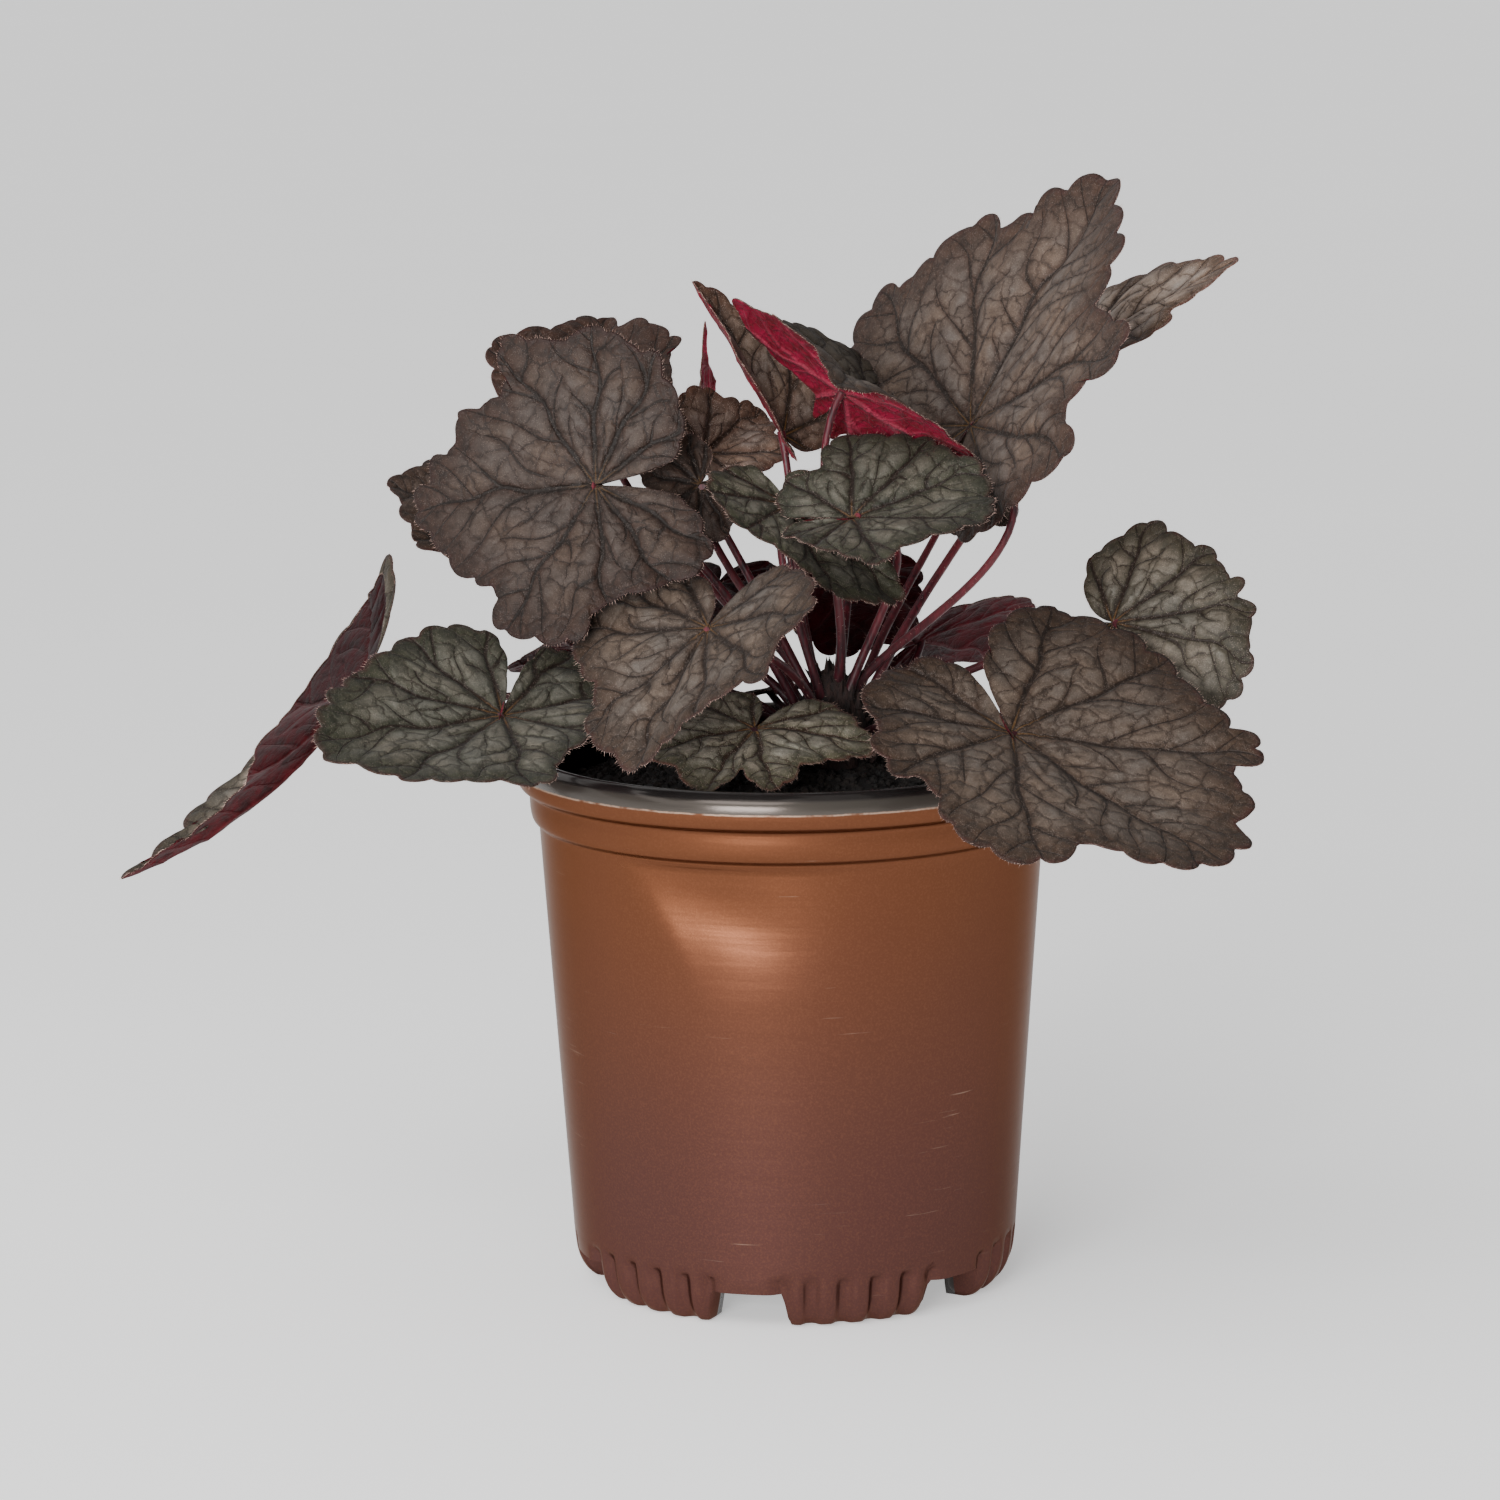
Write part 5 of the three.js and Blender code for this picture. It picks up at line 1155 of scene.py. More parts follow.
def revolve(rows, columns, shape):
    """Points and faces of a surface of revolution, each row moved by shape."""
    azimuth = np.arange(columns) * 360 / columns
    grid = []
    a = np.radians(azimuth)
    for r, z in rows:
        rr, zz = shape(r, z, azimuth)
        grid.append(np.stack([rr * np.cos(a), rr * np.sin(a), zz], 1))
    points = np.concatenate(grid)
    faces = []
    for i in range(len(rows) - 1):
        for k in range(columns):
            a, b = i * columns + k, i * columns + (k + 1) % columns
            faces.append((a, b, b + columns, a + columns))
    return points, faces


def edited(mesh, change):
    """The mesh after a change to its loose points and faces."""
    work = bmesh.new()
    work.from_mesh(mesh)
    change(work)
    work.to_mesh(mesh)
    work.free()
    return mesh


def merge_and_turn_out(work):
    bmesh.ops.remove_doubles(work, verts=work.verts, dist=1e-7)
    bmesh.ops.recalc_face_normals(work, faces=work.faces)


def closed_mesh(name, points, faces):
    """A mesh from points in millimetres with its faces turned outwards."""
    mesh = bpy.data.meshes.new(name)
    mesh.from_pydata(mm(points).tolist(), [], faces)
    return edited(mesh, merge_and_turn_out)


def close_pot_poles(work):
    """Draw the small rings in the middle of the floor and of the recess to points."""
    near = 3e-5
    for height in (RECESS_Z, FLOOR_Z):
        pole = Vector(mm((0, 0, height)))
        middle = [v for v in work.verts
                  if abs(v.co.x - pole.x) < near and abs(v.co.y - pole.y) < near
                  and abs(v.co.z - pole.z) < 1e-4]
        bmesh.ops.pointmerge(work, verts=middle, merge_co=pole)
    bmesh.ops.dissolve_degenerate(work, edges=work.edges, dist=1e-8)
    bmesh.ops.recalc_face_normals(work, faces=work.faces)


def leave_top_faces(work):
    low = [f for f in work.faces if f.normal.z < 0.5]
    bmesh.ops.delete(work, geom=low, context="FACES")


def pot_mesh(look):
    foot = smooth_path(FOOT_PROFILE, 4)
    heights = np.concatenate([np.linspace(24, 139, 32), np.linspace(141, 146, 6)])
    ends = [FOOT_PROFILE[-1], RING_PROFILE[0]]
    wall = np.stack([np.interp(heights, [p[1] for p in ends], [p[0] for p in ends]), heights], 1)
    band = smooth_path(RING_PROFILE + SHOULDER_PROFILE, 3)[1:]
    lip = smooth_path([SHOULDER_PROFILE[-1]] + LIP_PROFILE + INSIDE_PROFILE, 3)[1:]
    inside = smooth_path([INSIDE_PROFILE[-1], INSIDE_FLOOR[0]], 3)[1:]
    floor = np.array(INSIDE_FLOOR[1:] + [(FLOOR_RING, FLOOR_Z), (POLE, FLOOR_Z)], float)
    under = np.array([(POLE, RECESS_Z), (FLOOR_RING, RECESS_Z), (RECESS_RADIUS, RECESS_Z),
                      (RECESS_RADIUS, 4), (RECESS_RADIUS, 0), (FOOT_RING_RADIUS, 0)], float)
    rows = np.concatenate([under, foot, wall, band, lip, inside, floor])
    outer_end = len(under) + len(foot) + len(wall) + len(band)
    profile = smooth_path(FOOT_PROFILE, 8)
    height = FOOT_PROFILE[-1][1]

    def shape(r, z, azimuth):
        zz = np.full_like(azimuth, z)
        rr = np.full_like(azimuth, r)
        raised = foot_floor(azimuth)
        if z < RECESS_Z and RECESS_RADIUS <= r <= FOOT_RING_RADIUS:
            zz = raised + z * (RECESS_Z - raised) / RECESS_Z
        elif z <= height and r > FOOT_RING_RADIUS:
            zz = raised + z * (height - raised) / height
            base = np.interp(zz, profile[:, 1], profile[:, 0])
            rr = base + (r - np.interp(z, profile[:, 1], profile[:, 0]))
            rr = rr - flute_depth(azimuth, zz)
        return rr - dent_share(azimuth, zz) * look.dent / MM, zz

    split = outer_end + len(lip)
    points_a, faces_a = revolve(rows[:split], look.wall_columns, shape)
    points_b, faces_b = revolve(rows[split - 1:], look.wall_columns,
                                lambda r, z, a: (np.full_like(a, r), np.full_like(a, z)))
    offset = len(points_a)
    faces_b = [tuple(offset + i for i in f) for f in faces_b]
    mesh = closed_mesh("pot_wall", np.concatenate([points_a, points_b]), faces_a + faces_b)
    return edited(mesh, close_pot_poles)


def uneven(x, y):
    return (np.sin(0.31 * x + 1) + np.sin(0.27 * y + 0.12 * x)
            + 0.5 * np.sin(0.83 * x - 0.4 * y) + 0.35 * np.sin(1.7 * y + 0.9 * x))


def mix_mesh():
    rows = [(MIX_RADIUS - 0.3, 149)]
    rows += [(r, MIX_EDGE_Z + (MIX_TOP_Z - MIX_EDGE_Z) * (1 - (r / MIX_RADIUS) ** 2))
             for r in np.linspace(MIX_RADIUS, 0.01, 46)]
    rows = [(0.01, 149)] + rows

    def shape(r, z, azimuth):
        x, y = r * np.cos(np.radians(azimuth)), r * np.sin(np.radians(azimuth))
        rise = 0.55 * uneven(x, y) * (1 if z > 150 and r > 1 else 0)
        return np.full_like(azimuth, r), z + rise

    points, faces = revolve(rows, 144, shape)
    return closed_mesh("growing_mix_top", points, faces)


def crown_mesh():
    profile = smooth_path(CROWN_PROFILE, 4)
    rows = [(0.01, CROWN_PROFILE[0][1])] + list(profile) + [(0.01, CROWN_PROFILE[-1][1] + 0.2)]

    def shape(r, z, azimuth):
        a = np.radians(azimuth)
        lump = 1 + 0.05 * np.sin(5 * a + 0.2 * z) + 0.04 * np.sin(9 * a - 0.35 * z)
        lump = lump + 0.03 * np.sin(17 * a + 0.8 * z)
        return r * lump, np.full_like(azimuth, z)

    points, faces = revolve(rows, 72, shape)
    points = points + np.array([*CROWN_CENTRE, 0])
    return closed_mesh("crown_wood", points, faces)


def geometry_tree(name, sockets):
    """An empty geometry tree with its named inputs."""
    tree = bpy.data.node_groups.new(name, "GeometryNodeTree")
    tree.interface.new_socket("Geometry", in_out="INPUT", socket_type="NodeSocketGeometry")
    tree.interface.new_socket("Geometry", in_out="OUTPUT", socket_type="NodeSocketGeometry")
    for label, kind, value in sockets:
        socket = tree.interface.new_socket(label, in_out="INPUT", socket_type=kind)
        socket.default_value = value
    nodes = NodeTree(tree)
    return tree, nodes, nodes.add("NodeGroupInput"), nodes.add("NodeGroupOutput")


def close_tree(nodes, geometry, material, output):
    """Realise what the tree made, give it its material and send it out."""
    real = nodes.add("GeometryNodeRealizeInstances", inputs={"Geometry": geometry})
    coloured = nodes.add("GeometryNodeSetMaterial", inputs={"Geometry": real})
    coloured.inputs["Material"].default_value = material
    nodes.tree.links.new(coloured.outputs[0], output.inputs[0])


def petiole_tree(material):
    tree, nodes, given, output = geometry_tree("petiole_sweep", [
        ("Root Radius", "NodeSocketFloat", 0.0018), ("Tip Radius", "NodeSocketFloat", 0.0012),
        ("Sides", "NodeSocketInt", 12), ("Waviness", "NodeSocketFloat", 0.00035)])
    curve = nodes.add("GeometryNodeMeshToCurve", inputs={"Mesh": given.outputs["Geometry"]})
    share = nodes.add("GeometryNodeSplineParameter").outputs["Factor"]
    swell = nodes.fade(share, 0.0, 0.14, 1.3, 1.0)
    neck = nodes.fade(share, 0.93, 1.0, 1.0, 1.25)
    slim = nodes.add("ShaderNodeMapRange", inputs={
        "Value": share, "To Min": given.outputs["Root Radius"],
        "To Max": given.outputs["Tip Radius"]})
    radius = nodes.times(nodes.times(slim.outputs[0], swell), neck)
    sized = nodes.add("GeometryNodeSetCurveRadius", inputs={"Curve": curve, "Radius": radius})
    section = nodes.add("GeometryNodeCurvePrimitiveCircle", inputs={
        "Resolution": given.outputs["Sides"], "Radius": 1.0})
    sweep = nodes.add("GeometryNodeCurveToMesh", inputs={
        "Curve": sized, "Profile Curve": section.outputs["Curve"], "Fill Caps": True,
        "Scale": nodes.add("GeometryNodeInputRadius")})
    place = nodes.add("GeometryNodeInputPosition")
    ripple = nodes.add("ShaderNodeTexNoise", inputs={"Vector": place, "Scale": 210.0})
    shift = nodes.vector("SUBTRACT", ripple.outputs["Color"], (0.5, 0.5, 0.5))
    scaled = nodes.scaled(shift, given.outputs["Waviness"])
    moved = nodes.add("GeometryNodeSetPosition", inputs={"Geometry": sweep, "Offset": scaled})
    smooth = nodes.add("GeometryNodeSetShadeSmooth", inputs={"Geometry": moved})
    close_tree(nodes, smooth, material, output)
    return tree


def spike(nodes, thickness, length, sides=3):
    """One hair: a closed spike that stands on its root along Z."""
    return nodes.add("GeometryNodeMeshCone", inputs={
        "Vertices": sides, "Radius Top": 0.0, "Radius Bottom": thickness,
        "Depth": length}).outputs["Mesh"]


def spots_on(nodes, given, seed):
    """Random points over the surface that the tree is given, with the normals there."""
    return nodes.add("GeometryNodeDistributePointsOnFaces", distribute_method="RANDOM", inputs={
        "Mesh": given.outputs["Geometry"], "Seed": seed, "Density": given.outputs["Density"]})


def scattered(nodes, points, shape, direction, spread, low, high, seed):
    """Stand a shape on every point, leaning about a direction, in varied sizes."""
    chance = nodes.add("FunctionNodeRandomValue", data_type="FLOAT_VECTOR",
                       inputs={"Min": (-1, -1, -1), "Max": (1, 1, 1), "Seed": seed})
    lean = nodes.vector("ADD", direction, nodes.scaled(chance, spread))
    turn = nodes.add("FunctionNodeAlignRotationToVector", axis="Z", inputs={"Vector": lean})
    size = nodes.add("FunctionNodeRandomValue", data_type="FLOAT")
    for socket in size.inputs:
        if socket.name in ("Min", "Max", "Seed") and socket.type in ("VALUE", "INT") \
                and not socket.is_unavailable:
            socket.default_value = {"Min": low, "Max": high, "Seed": seed + 1}[socket.name]
    result = [s for s in size.outputs if not s.is_unavailable][0]
    return nodes.add("GeometryNodeInstanceOnPoints", inputs={
        "Points": points, "Instance": shape, "Rotation": turn, "Scale": result})


def margin_hair_tree(material):
    """Hairs along the edges of the blades, each leaning the way that is stored on the edge."""
    tree, nodes, given, output = geometry_tree("margin_hairs", [
        ("Spacing", "NodeSocketFloat", 0.0009), ("Length", "NodeSocketFloat", 0.0013),
        ("Thickness", "NodeSocketFloat", 0.00006), ("Spread", "NodeSocketFloat", 0.6)])
    curve = nodes.add("GeometryNodeMeshToCurve", inputs={"Mesh": given.outputs["Geometry"]})
    even = nodes.add("GeometryNodeResampleCurve", mode="LENGTH", inputs={
        "Curve": curve, "Length": given.outputs["Spacing"]})
    lean = nodes.add("GeometryNodeInputNamedAttribute", data_type="FLOAT_VECTOR",
                     inputs={"Name": "lean"}).outputs["Attribute"]
    hair = spike(nodes, given.outputs["Thickness"], given.outputs["Length"])
    stood = scattered(nodes, even, hair, lean, given.outputs["Spread"], 0.45, 1.2, 11)
    close_tree(nodes, stood, material, output)
    return tree


def skin_hair_tree(material):
    """Hairs that stand on a surface along its normals."""
    tree, nodes, given, output = geometry_tree("skin_hairs", [
        ("Density", "NodeSocketFloat", 120000.0), ("Length", "NodeSocketFloat", 0.0012),
        ("Thickness", "NodeSocketFloat", 0.00005), ("Spread", "NodeSocketFloat", 0.5)])
    spots = spots_on(nodes, given, 5)
    hair = spike(nodes, given.outputs["Thickness"], given.outputs["Length"])
    stood = scattered(nodes, spots.outputs["Points"], hair, spots.outputs["Normal"],
                      given.outputs["Spread"], 0.4, 1.15, 23)
    close_tree(nodes, stood, material, output)
    return tree


def crumb_tree(material):
    """Crumbs of many sizes lying on the growing mix."""
    tree, nodes, given, output = geometry_tree("mix_crumbs", [
        ("Density", "NodeSocketFloat", 150000.0), ("Size", "NodeSocketFloat", 0.0012)])
    spots = spots_on(nodes, given, 3)
    crumb = nodes.add("GeometryNodeMeshIcoSphere", inputs={
        "Subdivisions": 1, "Radius": given.outputs["Size"]})
    stood = scattered(nodes, spots.outputs["Points"], crumb.outputs["Mesh"],
                      spots.outputs["Normal"], 1.6, 0.3, 1.5, 31)
    real = nodes.add("GeometryNodeRealizeInstances", inputs={"Geometry": stood})
    place = nodes.add("GeometryNodeInputPosition")
    rough = nodes.add("ShaderNodeTexNoise", inputs={"Vector": place, "Scale": 900.0})
    shift = nodes.vector("MULTIPLY_ADD", rough.outputs["Color"], (0.0016, 0.0016, 0.0014),
                         (-0.0008, -0.0008, -0.0007))
    moved = nodes.add("GeometryNodeSetPosition", inputs={"Geometry": real, "Offset": shift})
    close_tree(nodes, moved, material, output)
    return tree


def scale_tree(material):
    """Dry pointed scales of old leaf bases over the crown."""
    tree, nodes, given, output = geometry_tree("crown_scales", [
        ("Density", "NodeSocketFloat", 42000.0), ("Length", "NodeSocketFloat", 0.0055),
        ("Width", "NodeSocketFloat", 0.0011), ("Spread", "NodeSocketFloat", 0.55)])
    spots = spots_on(nodes, given, 9)
    blade = spike(nodes, given.outputs["Width"], given.outputs["Length"], sides=5)
    upward = nodes.vector("ADD", spots.outputs["Normal"], (0, 0, 1.1))
    stood = scattered(nodes, spots.outputs["Points"], blade, upward,
                      given.outputs["Spread"], 0.5, 1.2, 41)
    close_tree(nodes, stood, material, output)
    return tree


def plain_result(name, source_mesh, tree, settings):
    """Run a geometry tree over a mesh and keep what it makes as a plain mesh."""
    carrier = bpy.data.objects.new(name + "_carrier", source_mesh)
    bpy.context.scene.collection.objects.link(carrier)
    modifier = carrier.modifiers.new("tree", "NODES")
    modifier.node_group = tree
    for item in tree.interface.items_tree:
        if item.item_type == "SOCKET" and item.in_out == "INPUT" and item.name in settings:
            modifier[item.identifier] = settings[item.name]
    graph = bpy.context.evaluated_depsgraph_get()
    mesh = bpy.data.meshes.new_from_object(carrier.evaluated_get(graph), depsgraph=graph)
    mesh.name = name
    bpy.data.objects.remove(carrier)
    if not mesh.polygons:
        raise RuntimeError(name + " came out of its tree with no faces")
    piece = bpy.data.objects.new(name, mesh)
    bpy.context.scene.collection.objects.link(piece)
    return piece


def path_mesh(name, paths, leans=None):
    """Open or closed runs of points as edges, for a tree to turn into curves."""
    points, edges, total = [], [], 0
    for path, closed in paths:
        points.append(path)
        edges += [(total + i, total + i + 1) for i in range(len(path) - 1)]
        if closed:
            edges.append((total + len(path) - 1, total))
        total += len(path)
    mesh = bpy.data.meshes.new(name)
    mesh.from_pydata(mm(np.concatenate(points)).tolist(), edges, [])
    if leans is not None:
        add_field(mesh, "lean", np.concatenate(leans).T)
    return mesh


def seat(piece, slot, *nodes):
    """Ride the piece on the plant and hide the nodes it stands for; the slot is not used."""
    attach(piece, BODY)
    if nodes:
        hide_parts(*nodes)


def record_slot(node):
    """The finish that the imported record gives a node."""
    for part in frame["record"]["subparts"]:
        if part["node"] == node:
            return part["material_slot"]
    raise RuntimeError("the record has no finish for " + node)


def colour_property(name, description, value):
    return bpy.props.FloatVectorProperty(
        name=name, description=description, subtype="COLOR", size=4, min=0, max=1, default=value)


def length_property(name, description, value):
    return bpy.props.FloatProperty(
        name=name, description=description, default=value, unit="LENGTH", precision=5, min=0)


class HeucherellaLeafSettings(bpy.types.PropertyGroup):
    points_per_tooth: bpy.props.IntProperty(
        name="Points per tooth", description="Edge points on each rounded tooth",
        default=12, min=4, max=24)
    tooth_depth: bpy.props.FloatProperty(
        name="Tooth depth", description="Depth of a tooth as a share of its distance from the base",
        default=0.058, min=0, max=0.2)
    blade_thickness: length_property("Blade thickness", "Thickness in the middle of a blade", 0.0006)
    vein_depth: length_property("Vein depth", "How deep the veins sink into the upper side", 0.0005)
    vein_height: length_property("Vein height", "How far the ribs stand out below", 0.00055)
    vein_width: length_property("Vein width", "Width of the main ribs near the base", 0.0009)
    quilting: bpy.props.FloatProperty(
        name="Quilting", description="How strongly the blade swells between its veins",
        default=1.15, min=0, max=3)
    petiole_root: length_property("Petiole root", "Petiole radius at the crown", 0.0015)
    petiole_tip: length_property("Petiole tip", "Petiole radius at the blade", 0.0011)
    hair_length: length_property("Hair length", "Length of the hairs on edges and petioles", 0.0013)
    bronze: colour_property("Bronze", "Upper side away from the veins", linear(72, 47, 36))
    bronze_dark: colour_property("Dark bronze", "Upper side in its dark clouds", linear(47, 31, 25))
    silver_warm: colour_property("Warm silver", "Silvery bloom, warm", linear(124, 103, 88))
    silver_cool: colour_property("Cool silver", "Silvery bloom, cool", linear(108, 98, 92))
    silver_green: colour_property("Green silver", "Bloom of the lower leaves", linear(111, 113, 102))
    green_tint: colour_property("Green", "Green of the lower leaves", linear(54, 58, 42))
    green_dark: colour_property("Dark green", "Green in its dark clouds", linear(34, 39, 28))
    vein_colour: colour_property("Vein", "Veins on the upper side", linear(32, 21, 14))
    thread_colour: colour_property("Vein thread", "Olive thread in the ribs", linear(116, 82, 42))
    margin_colour: colour_property("Margin", "Dusky rim of the blade", linear(58, 27, 24))
    speckle: colour_property("Speckle", "Fine pale dots", linear(172, 154, 144))
    maroon: colour_property("Maroon", "Underside", linear(82, 19, 24))
    maroon_dark: colour_property("Dark maroon", "Underside in its hollows", linear(40, 8, 10))
    # Partly painted light shining through the blade.
    crimson: colour_property("Crimson", "Underside of the bright leaf", linear(126, 18, 48))
    rib_pink: colour_property("Rib", "Ribs of the bright underside", linear(160, 66, 84))
    rib_dusky: colour_property("Dusky rib", "Ribs of the dark undersides", linear(92, 42, 42))
    stalk_red: colour_property("Petiole red", "Petiole", linear(92, 24, 36))
    stalk_dark: colour_property("Petiole dark", "Petiole in its streaks", linear(38, 12, 18))
    stalk_pink: colour_property("Petiole pink", "Paler stretches of petiole", linear(124, 52, 58))
    hair_pale: colour_property("Hair", "Hairs on the plant", linear(206, 180, 166))
    hair_pink: colour_property("Pink hair", "Pinker hairs", linear(168, 124, 114))


class HeucherellaPotSettings(bpy.types.PropertyGroup):
    wall_columns: bpy.props.IntProperty(
        name="Wall columns", description="Steps round the wall", default=432, min=72, max=720)
    facet_lean: bpy.props.FloatProperty(
        name="Facet lean", description="Slope that the light reads on the flattened patch",
        default=0.155, min=0, max=1)
    dent: length_property("Dent", "Depth of the flattened patch in the front wall", 0.0017)
    coat_roughness: bpy.props.FloatProperty(
        name="Coat roughness", description="Roughness of the copper coat",
        default=0.3, min=0, max=1, subtype="FACTOR")
    crumb_size: length_property("Crumb size", "Radius of an average crumb of the mix", 0.0012)
    # Upper and lower coat colours hold painted light from above and painted shade below.
    coat_upper_painted_light: colour_property("Coat, upper wall", "Coat near the shoulder", linear(99, 59, 38))
    coat_mid: colour_property("Coat, clouds", "Coat in its darker clouds", linear(85, 52, 43))
    coat_lower_painted_shade: colour_property("Coat, lower wall", "Coat near the foot", linear(79, 51, 48))
    coat_fleck: colour_property("Coat fleck", "Fine bright flecks", linear(132, 86, 62))
    coat_edge: colour_property("Coat edge", "Ragged pale edge of the coat", linear(176, 152, 134))
    lip_black: colour_property("Lip", "Bare black plastic", linear(19, 17, 17))
    # Painted reflection on the lip's outer face.
    lip_painted_reflection: colour_property("Lip, outer face", "Worn grey of the lip's outer face", linear(60, 56, 51))
    lip_grey: colour_property("Lip haze", "Dusty black plastic", linear(36, 34, 33))


class HeucherellaStageSettings(bpy.types.PropertyGroup):
    distance: length_property("Camera distance", "From the camera to the aim point", 1.6)
    elevation: bpy.props.FloatProperty(
        name="Elevation", description="Camera angle above the level", subtype="ANGLE",
        default=math.radians(10.1))
    camera_roll: bpy.props.FloatProperty(
        name="Roll", description="Camera turn about its own axis", subtype="ANGLE",
        default=math.radians(-0.6))
    lens: bpy.props.FloatProperty(name="Lens", description="Focal length", default=122.88,
                                  unit="CAMERA", min=1)
    aim: bpy.props.FloatVectorProperty(
        name="Aim", description="Point that the camera looks at, from the foot of the pot's axis",
        size=3, default=(-0.0127, 0.0, 0.168), subtype="TRANSLATION")
    floor_size: length_property("Floor size", "Side of the pale floor", 40.0)
    floor_glow: bpy.props.FloatProperty(
        name="Floor glow", description="Light of the backlit white floor", default=0.5, min=0)
    sky_strength: bpy.props.FloatProperty(
        name="Sky strength", description="White light from all round, stronger from the left",
        default=0.42, min=0)
    top_light: bpy.props.FloatProperty(
        name="Top light", description="Strength of the wide soft light above", default=0.9, min=0)
    high_light: bpy.props.FloatProperty(
        name="High panel", description="Power of the panel above and in front",
        default=7.0, min=0, unit="POWER")
    front_light: bpy.props.FloatProperty(
        name="Front light", description="Power of the soft panel in front", default=50.0, min=0,
        unit="POWER")


class HEUCHERELLA_OT_pot(bpy.types.Operator):
    """Build the pot with its rolled lip, dented wall and fluted foot"""
    bl_idname = "heucherella.pot"
    bl_label = "Build the pot"

    def execute(self, context):
        look = context.scene.heucherella_pot
        piece = new_piece("pot_wall", pot_mesh(look), [pot_material(look)])
        seat(piece, "pot", "pot")
        return {"FINISHED"}


class HEUCHERELLA_OT_growing_mix(bpy.types.Operator):
    """Build the mound of growing mix and scatter its crumbs"""
    bl_idname = "heucherella.growing_mix"
    bl_label = "Build the growing mix"

    def execute(self, context):
        look = context.scene.heucherella_pot
        material = mix_material()
        mound = new_piece("growing_mix_top", mix_mesh(), [material])
        seat(mound, "growing_mix", "growing_mix")
        source = edited(mound.data.copy(), leave_top_faces)
        crumbs = plain_result("growing_mix_crumbs", source, crumb_tree(material),
                              {"Size": look.crumb_size})
        seat(crumbs, "growing_mix")
        return {"FINISHED"}


class HEUCHERELLA_OT_crown(bpy.types.Operator):
    """Build the woody crown and the dry scales on it"""
    bl_idname = "heucherella.crown"
    bl_label = "Build the crown"

    def execute(self, context):
        material = crown_material()
        crown = new_piece("crown_wood", crown_mesh(), [material])
        seat(crown, "crown", "crown")
        scales = plain_result("crown_scales", crown.data.copy(), scale_tree(material), {})
        seat(scales, "crown")
        return {"FINISHED"}


class HEUCHERELLA_OT_blades(bpy.types.Operator):
    """Build every blade with its teeth, quilting, veins and ribs"""
    bl_idname = "heucherella.blades"
    bl_label = "Build the blades"

    def execute(self, context):
        look = context.scene.heucherella_leaf
        skins = [upper_skin_material(look), lower_skin_material(look)]
        for leaf in LEAVES:
            piece = new_piece(leaf["name"] + "_blade_skin", blade_mesh(leaf, look), skins)
            node = leaf["name"] + "_blade"
            seat(piece, record_slot(node), node)
        return {"FINISHED"}


class HEUCHERELLA_OT_petioles(bpy.types.Operator):
    """Sweep every petiole from the crown to its blade"""
    bl_idname = "heucherella.petioles"
    bl_label = "Build the petioles"

    def execute(self, context):
        look = context.scene.heucherella_leaf
        tree = petiole_tree(petiole_material(look))
        for leaf in LEAVES:
            name = leaf["name"] + "_petiole_skin"
            path = path_mesh(name + "_path", [(petiole_path(leaf, 30), False)])
            piece = plain_result(name, path, tree, {
                "Root Radius": look.petiole_root, "Tip Radius": look.petiole_tip})
            seat(piece, "petiole", leaf["name"] + "_petiole")
        return {"FINISHED"}


class HEUCHERELLA_OT_hairs(bpy.types.Operator):
    """Stand fine hairs on the edges of the blades and on the petioles"""
    bl_idname = "heucherella.hairs"
    bl_label = "Build the hairs"

    def execute(self, context):
        look = context.scene.heucherella_leaf
        material = hair_material(look)
        runs, leans = [], []
        for leaf in LEAVES:
            _, toothed, _ = blade_edge(leaf, look.points_per_tooth, look.tooth_depth)
            x, y = toothed[2:-1].T
            here = blade_place(leaf, x, y, np.full_like(x, -0.2))
            beyond = blade_place(leaf, x * 1.03, y * 1.03, np.full_like(x, -0.2))
            out = beyond - here
            runs.append((here, False))
            leans.append(out / np.linalg.norm(out, axis=1)[:, None])
        edges = path_mesh("margin_runs", runs, leans)
        fringe = plain_result("margin_hairs", edges, margin_hair_tree(material),
                              {"Length": look.hair_length})
        seat(fringe, "petiole")
        stalks = bmesh.new()
        for leaf in LEAVES:
            stalks.from_mesh(bpy.data.objects[leaf["name"] + "_petiole_skin"].data)
        source = bpy.data.meshes.new("petiole_surface")
        stalks.to_mesh(source)
        stalks.free()
        fuzz = plain_result("petiole_hairs", source, skin_hair_tree(material),
                            {"Length": look.hair_length})
        seat(fuzz, "petiole")
        return {"FINISHED"}


def stand_light(name, light, place, direction):
    lamp = bpy.data.objects.new(name, light)
    lamp.location = place
    lamp.rotation_euler = Vector(direction).to_track_quat("-Z", "Y").to_euler()
    bpy.context.scene.collection.objects.link(lamp)


def area_light(name, place, aim, size, power):
    light = bpy.data.lights.new(name, "AREA")
    light.shape = "RECTANGLE"
    light.size, light.size_y = size
    light.energy = power
    stand_light(name, light, place, Vector(aim) - Vector(place))


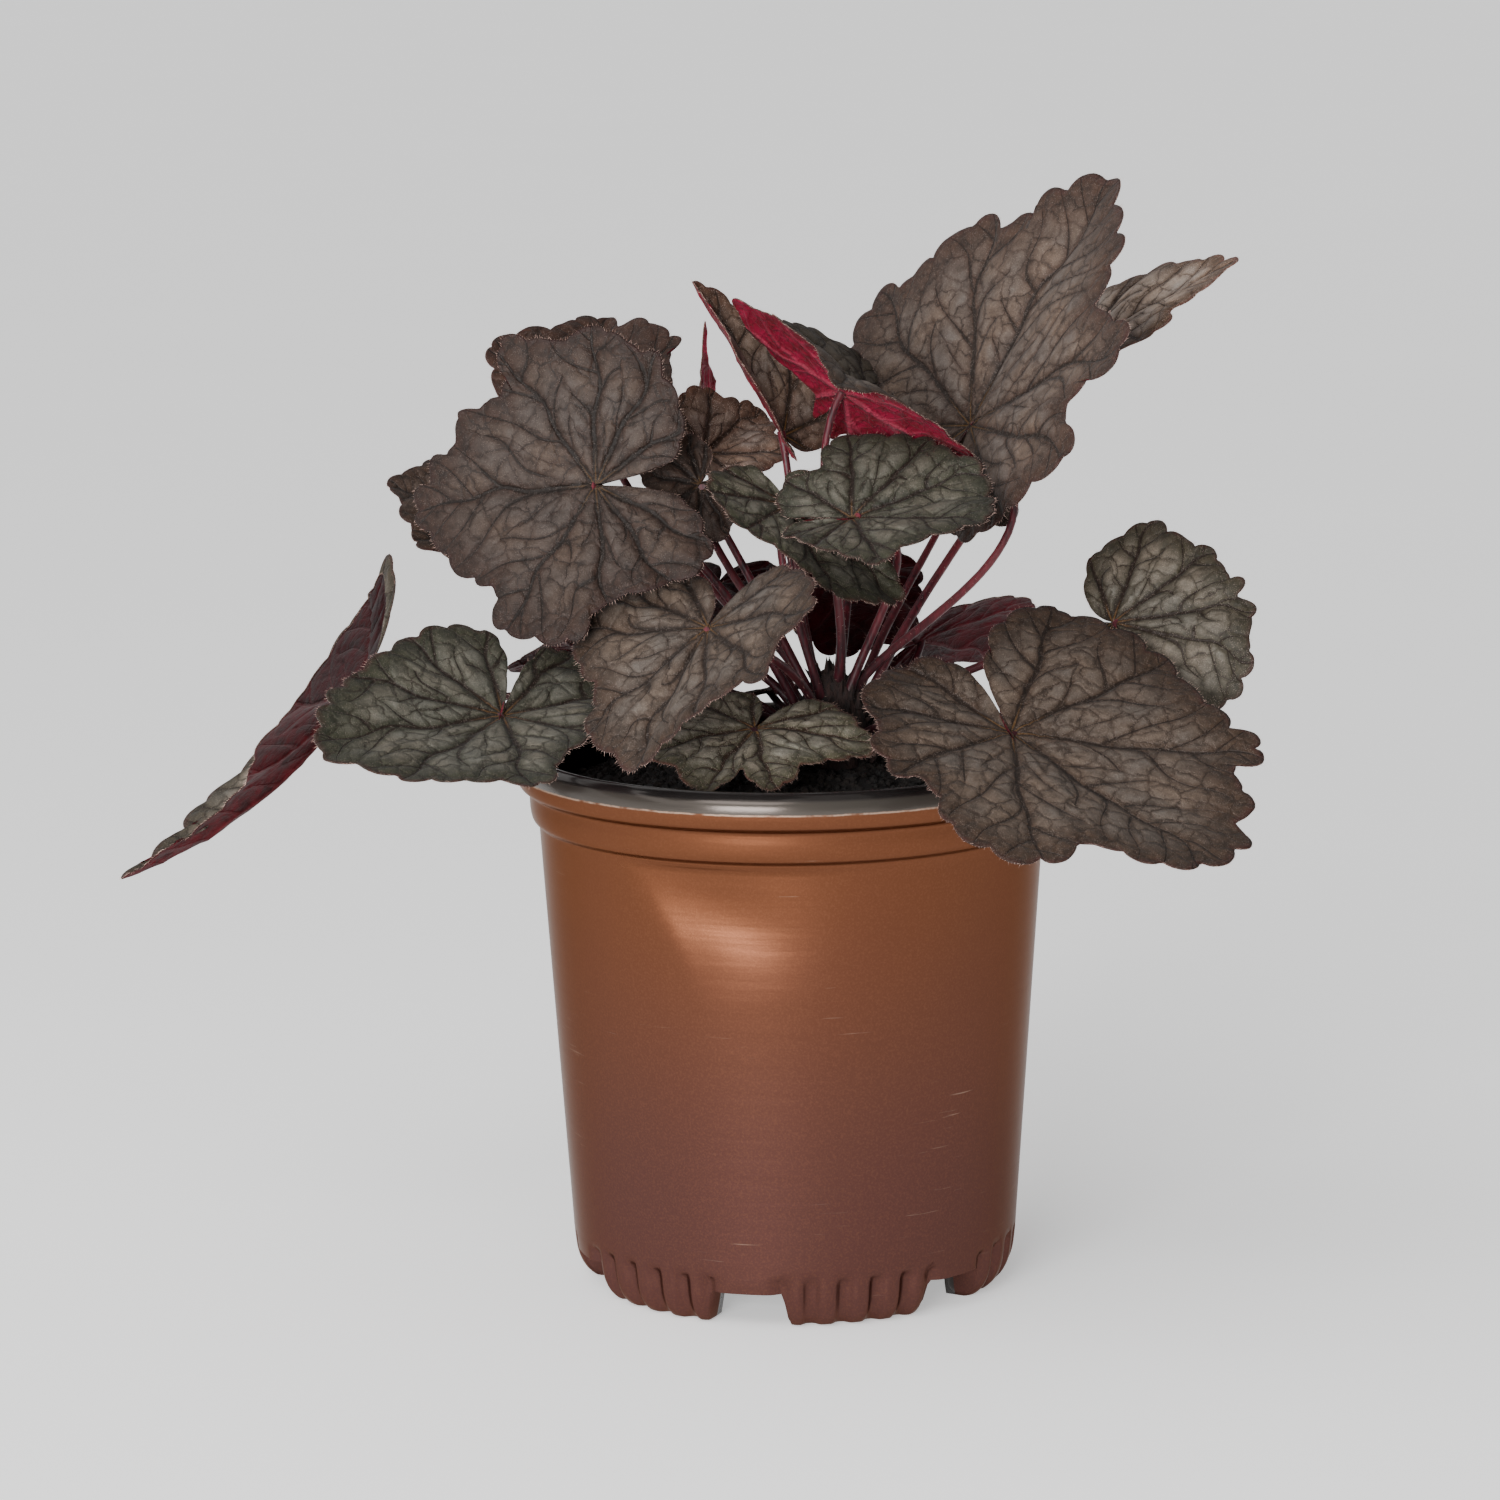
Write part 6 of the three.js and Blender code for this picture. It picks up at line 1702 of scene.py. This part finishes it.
class HEUCHERELLA_OT_stage(bpy.types.Operator):
    """Lay the pale floor, set the soft lights and place the camera"""
    bl_idname = "heucherella.stage"
    bl_label = "Build the stage"

    def execute(self, context):
        look = context.scene.heucherella_stage
        half = look.floor_size / 2
        floor_mesh = bpy.data.meshes.new("floor")
        floor_mesh.from_pydata([(-half, -half, 0), (half, -half, 0), (half, half, 0),
                                (-half, half, 0)], [], [(0, 1, 2, 3)])
        material, nodes, shader = shader_tree("pale_floor")
        colour = nodes.blend(nodes.noise(nodes.place(), 3.0, 1), (0.86, 0.86, 0.86, 1),
                             (0.9, 0.9, 0.9, 1))
        nodes.finish(shader, Base_Color=colour, Roughness=0.9, Specular_IOR_Level=0.1,
                     Emission_Color=(1, 1, 1, 1), Emission_Strength=look.floor_glow)
        new_piece("floor", floor_mesh, [material], smooth=False)
        world = bpy.data.worlds.new("studio")
        world.use_nodes = True
        sky = world.node_tree.nodes["Background"]
        sky.inputs["Color"].default_value = (1, 1, 1, 1)
        air = NodeTree(world.node_tree)
        side, _, _ = air.parts(air.add("ShaderNodeTexCoord").outputs["Generated"])
        air.feed(sky.inputs["Strength"], air.ramp(
            side, -1, 1, look.sky_strength * SKY_LEFT, look.sky_strength * SKY_RIGHT))
        context.scene.world = world
        sun = bpy.data.lights.new("soft_top_light", "SUN")
        sun.energy = look.top_light
        sun.angle = SUN_SPREAD
        stand_light("soft_top_light", sun, (0, 0, 0), SUN_DIRECTION)
        area_light("front_panel", *FRONT_PANEL, look.front_light)
        area_light("high_panel", *HIGH_PANEL, look.high_light)
        self.place_camera(context, look)
        return {"FINISHED"}

    def place_camera(self, context, look):
        forward = Vector((0, math.cos(look.elevation), -math.sin(look.elevation)))
        right = Vector((1, 0, 0))
        up = right.cross(forward)
        c, s = math.cos(look.camera_roll), math.sin(look.camera_roll)
        turned_right, turned_up = right * c + up * s, right * -s + up * c
        data = bpy.data.cameras.new("camera")
        data.sensor_width = 36.0
        data.lens = look.lens
        data.clip_end = 20.0
        camera = bpy.data.objects.new("camera", data)
        place = Vector(look.aim) + Vector(POT_AXIS) * MM - forward * look.distance
        turn = Matrix((turned_right, turned_up, -forward)).transposed()
        camera.matrix_world = Matrix.Translation(place) @ turn.to_4x4()
        context.scene.collection.objects.link(camera)
        context.scene.camera = camera


class HEUCHERELLA_PT_panel(bpy.types.Panel):
    bl_label = "Potted heucherella"
    bl_idname = "HEUCHERELLA_PT_panel"
    bl_space_type = "VIEW_3D"
    bl_region_type = "UI"
    bl_category = "Heucherella"

    def draw(self, context):
        for operator in OPERATORS:
            self.layout.operator(operator.bl_idname)
        for name, group in SETTINGS:
            box = self.layout.box()
            for key in group.__annotations__:
                box.prop(getattr(context.scene, name), key)


SETTINGS = [
    ("heucherella_leaf", HeucherellaLeafSettings),
    ("heucherella_pot", HeucherellaPotSettings),
    ("heucherella_stage", HeucherellaStageSettings),
]
OPERATORS = [
    HEUCHERELLA_OT_stage,
    HEUCHERELLA_OT_pot,
    HEUCHERELLA_OT_growing_mix,
    HEUCHERELLA_OT_crown,
    HEUCHERELLA_OT_blades,
    HEUCHERELLA_OT_petioles,
    HEUCHERELLA_OT_hairs,
]


def register():
    for name, group in SETTINGS:
        bpy.utils.register_class(group)
        setattr(bpy.types.Scene, name, bpy.props.PointerProperty(type=group))
    for item in OPERATORS + [HEUCHERELLA_PT_panel]:
        bpy.utils.register_class(item)


def unregister():
    for item in reversed(OPERATORS + [HEUCHERELLA_PT_panel]):
        bpy.utils.unregister_class(item)
    for name, group in reversed(SETTINGS):
        delattr(bpy.types.Scene, name)
        bpy.utils.unregister_class(group)


def main():
    register()
    bpy.ops.heucherella.stage()
    bpy.ops.heucherella.pot()
    bpy.ops.heucherella.growing_mix()
    bpy.ops.heucherella.crown()
    bpy.ops.heucherella.blades()
    bpy.ops.heucherella.petioles()
    bpy.ops.heucherella.hairs()


if __name__ == "__main__":
    main()
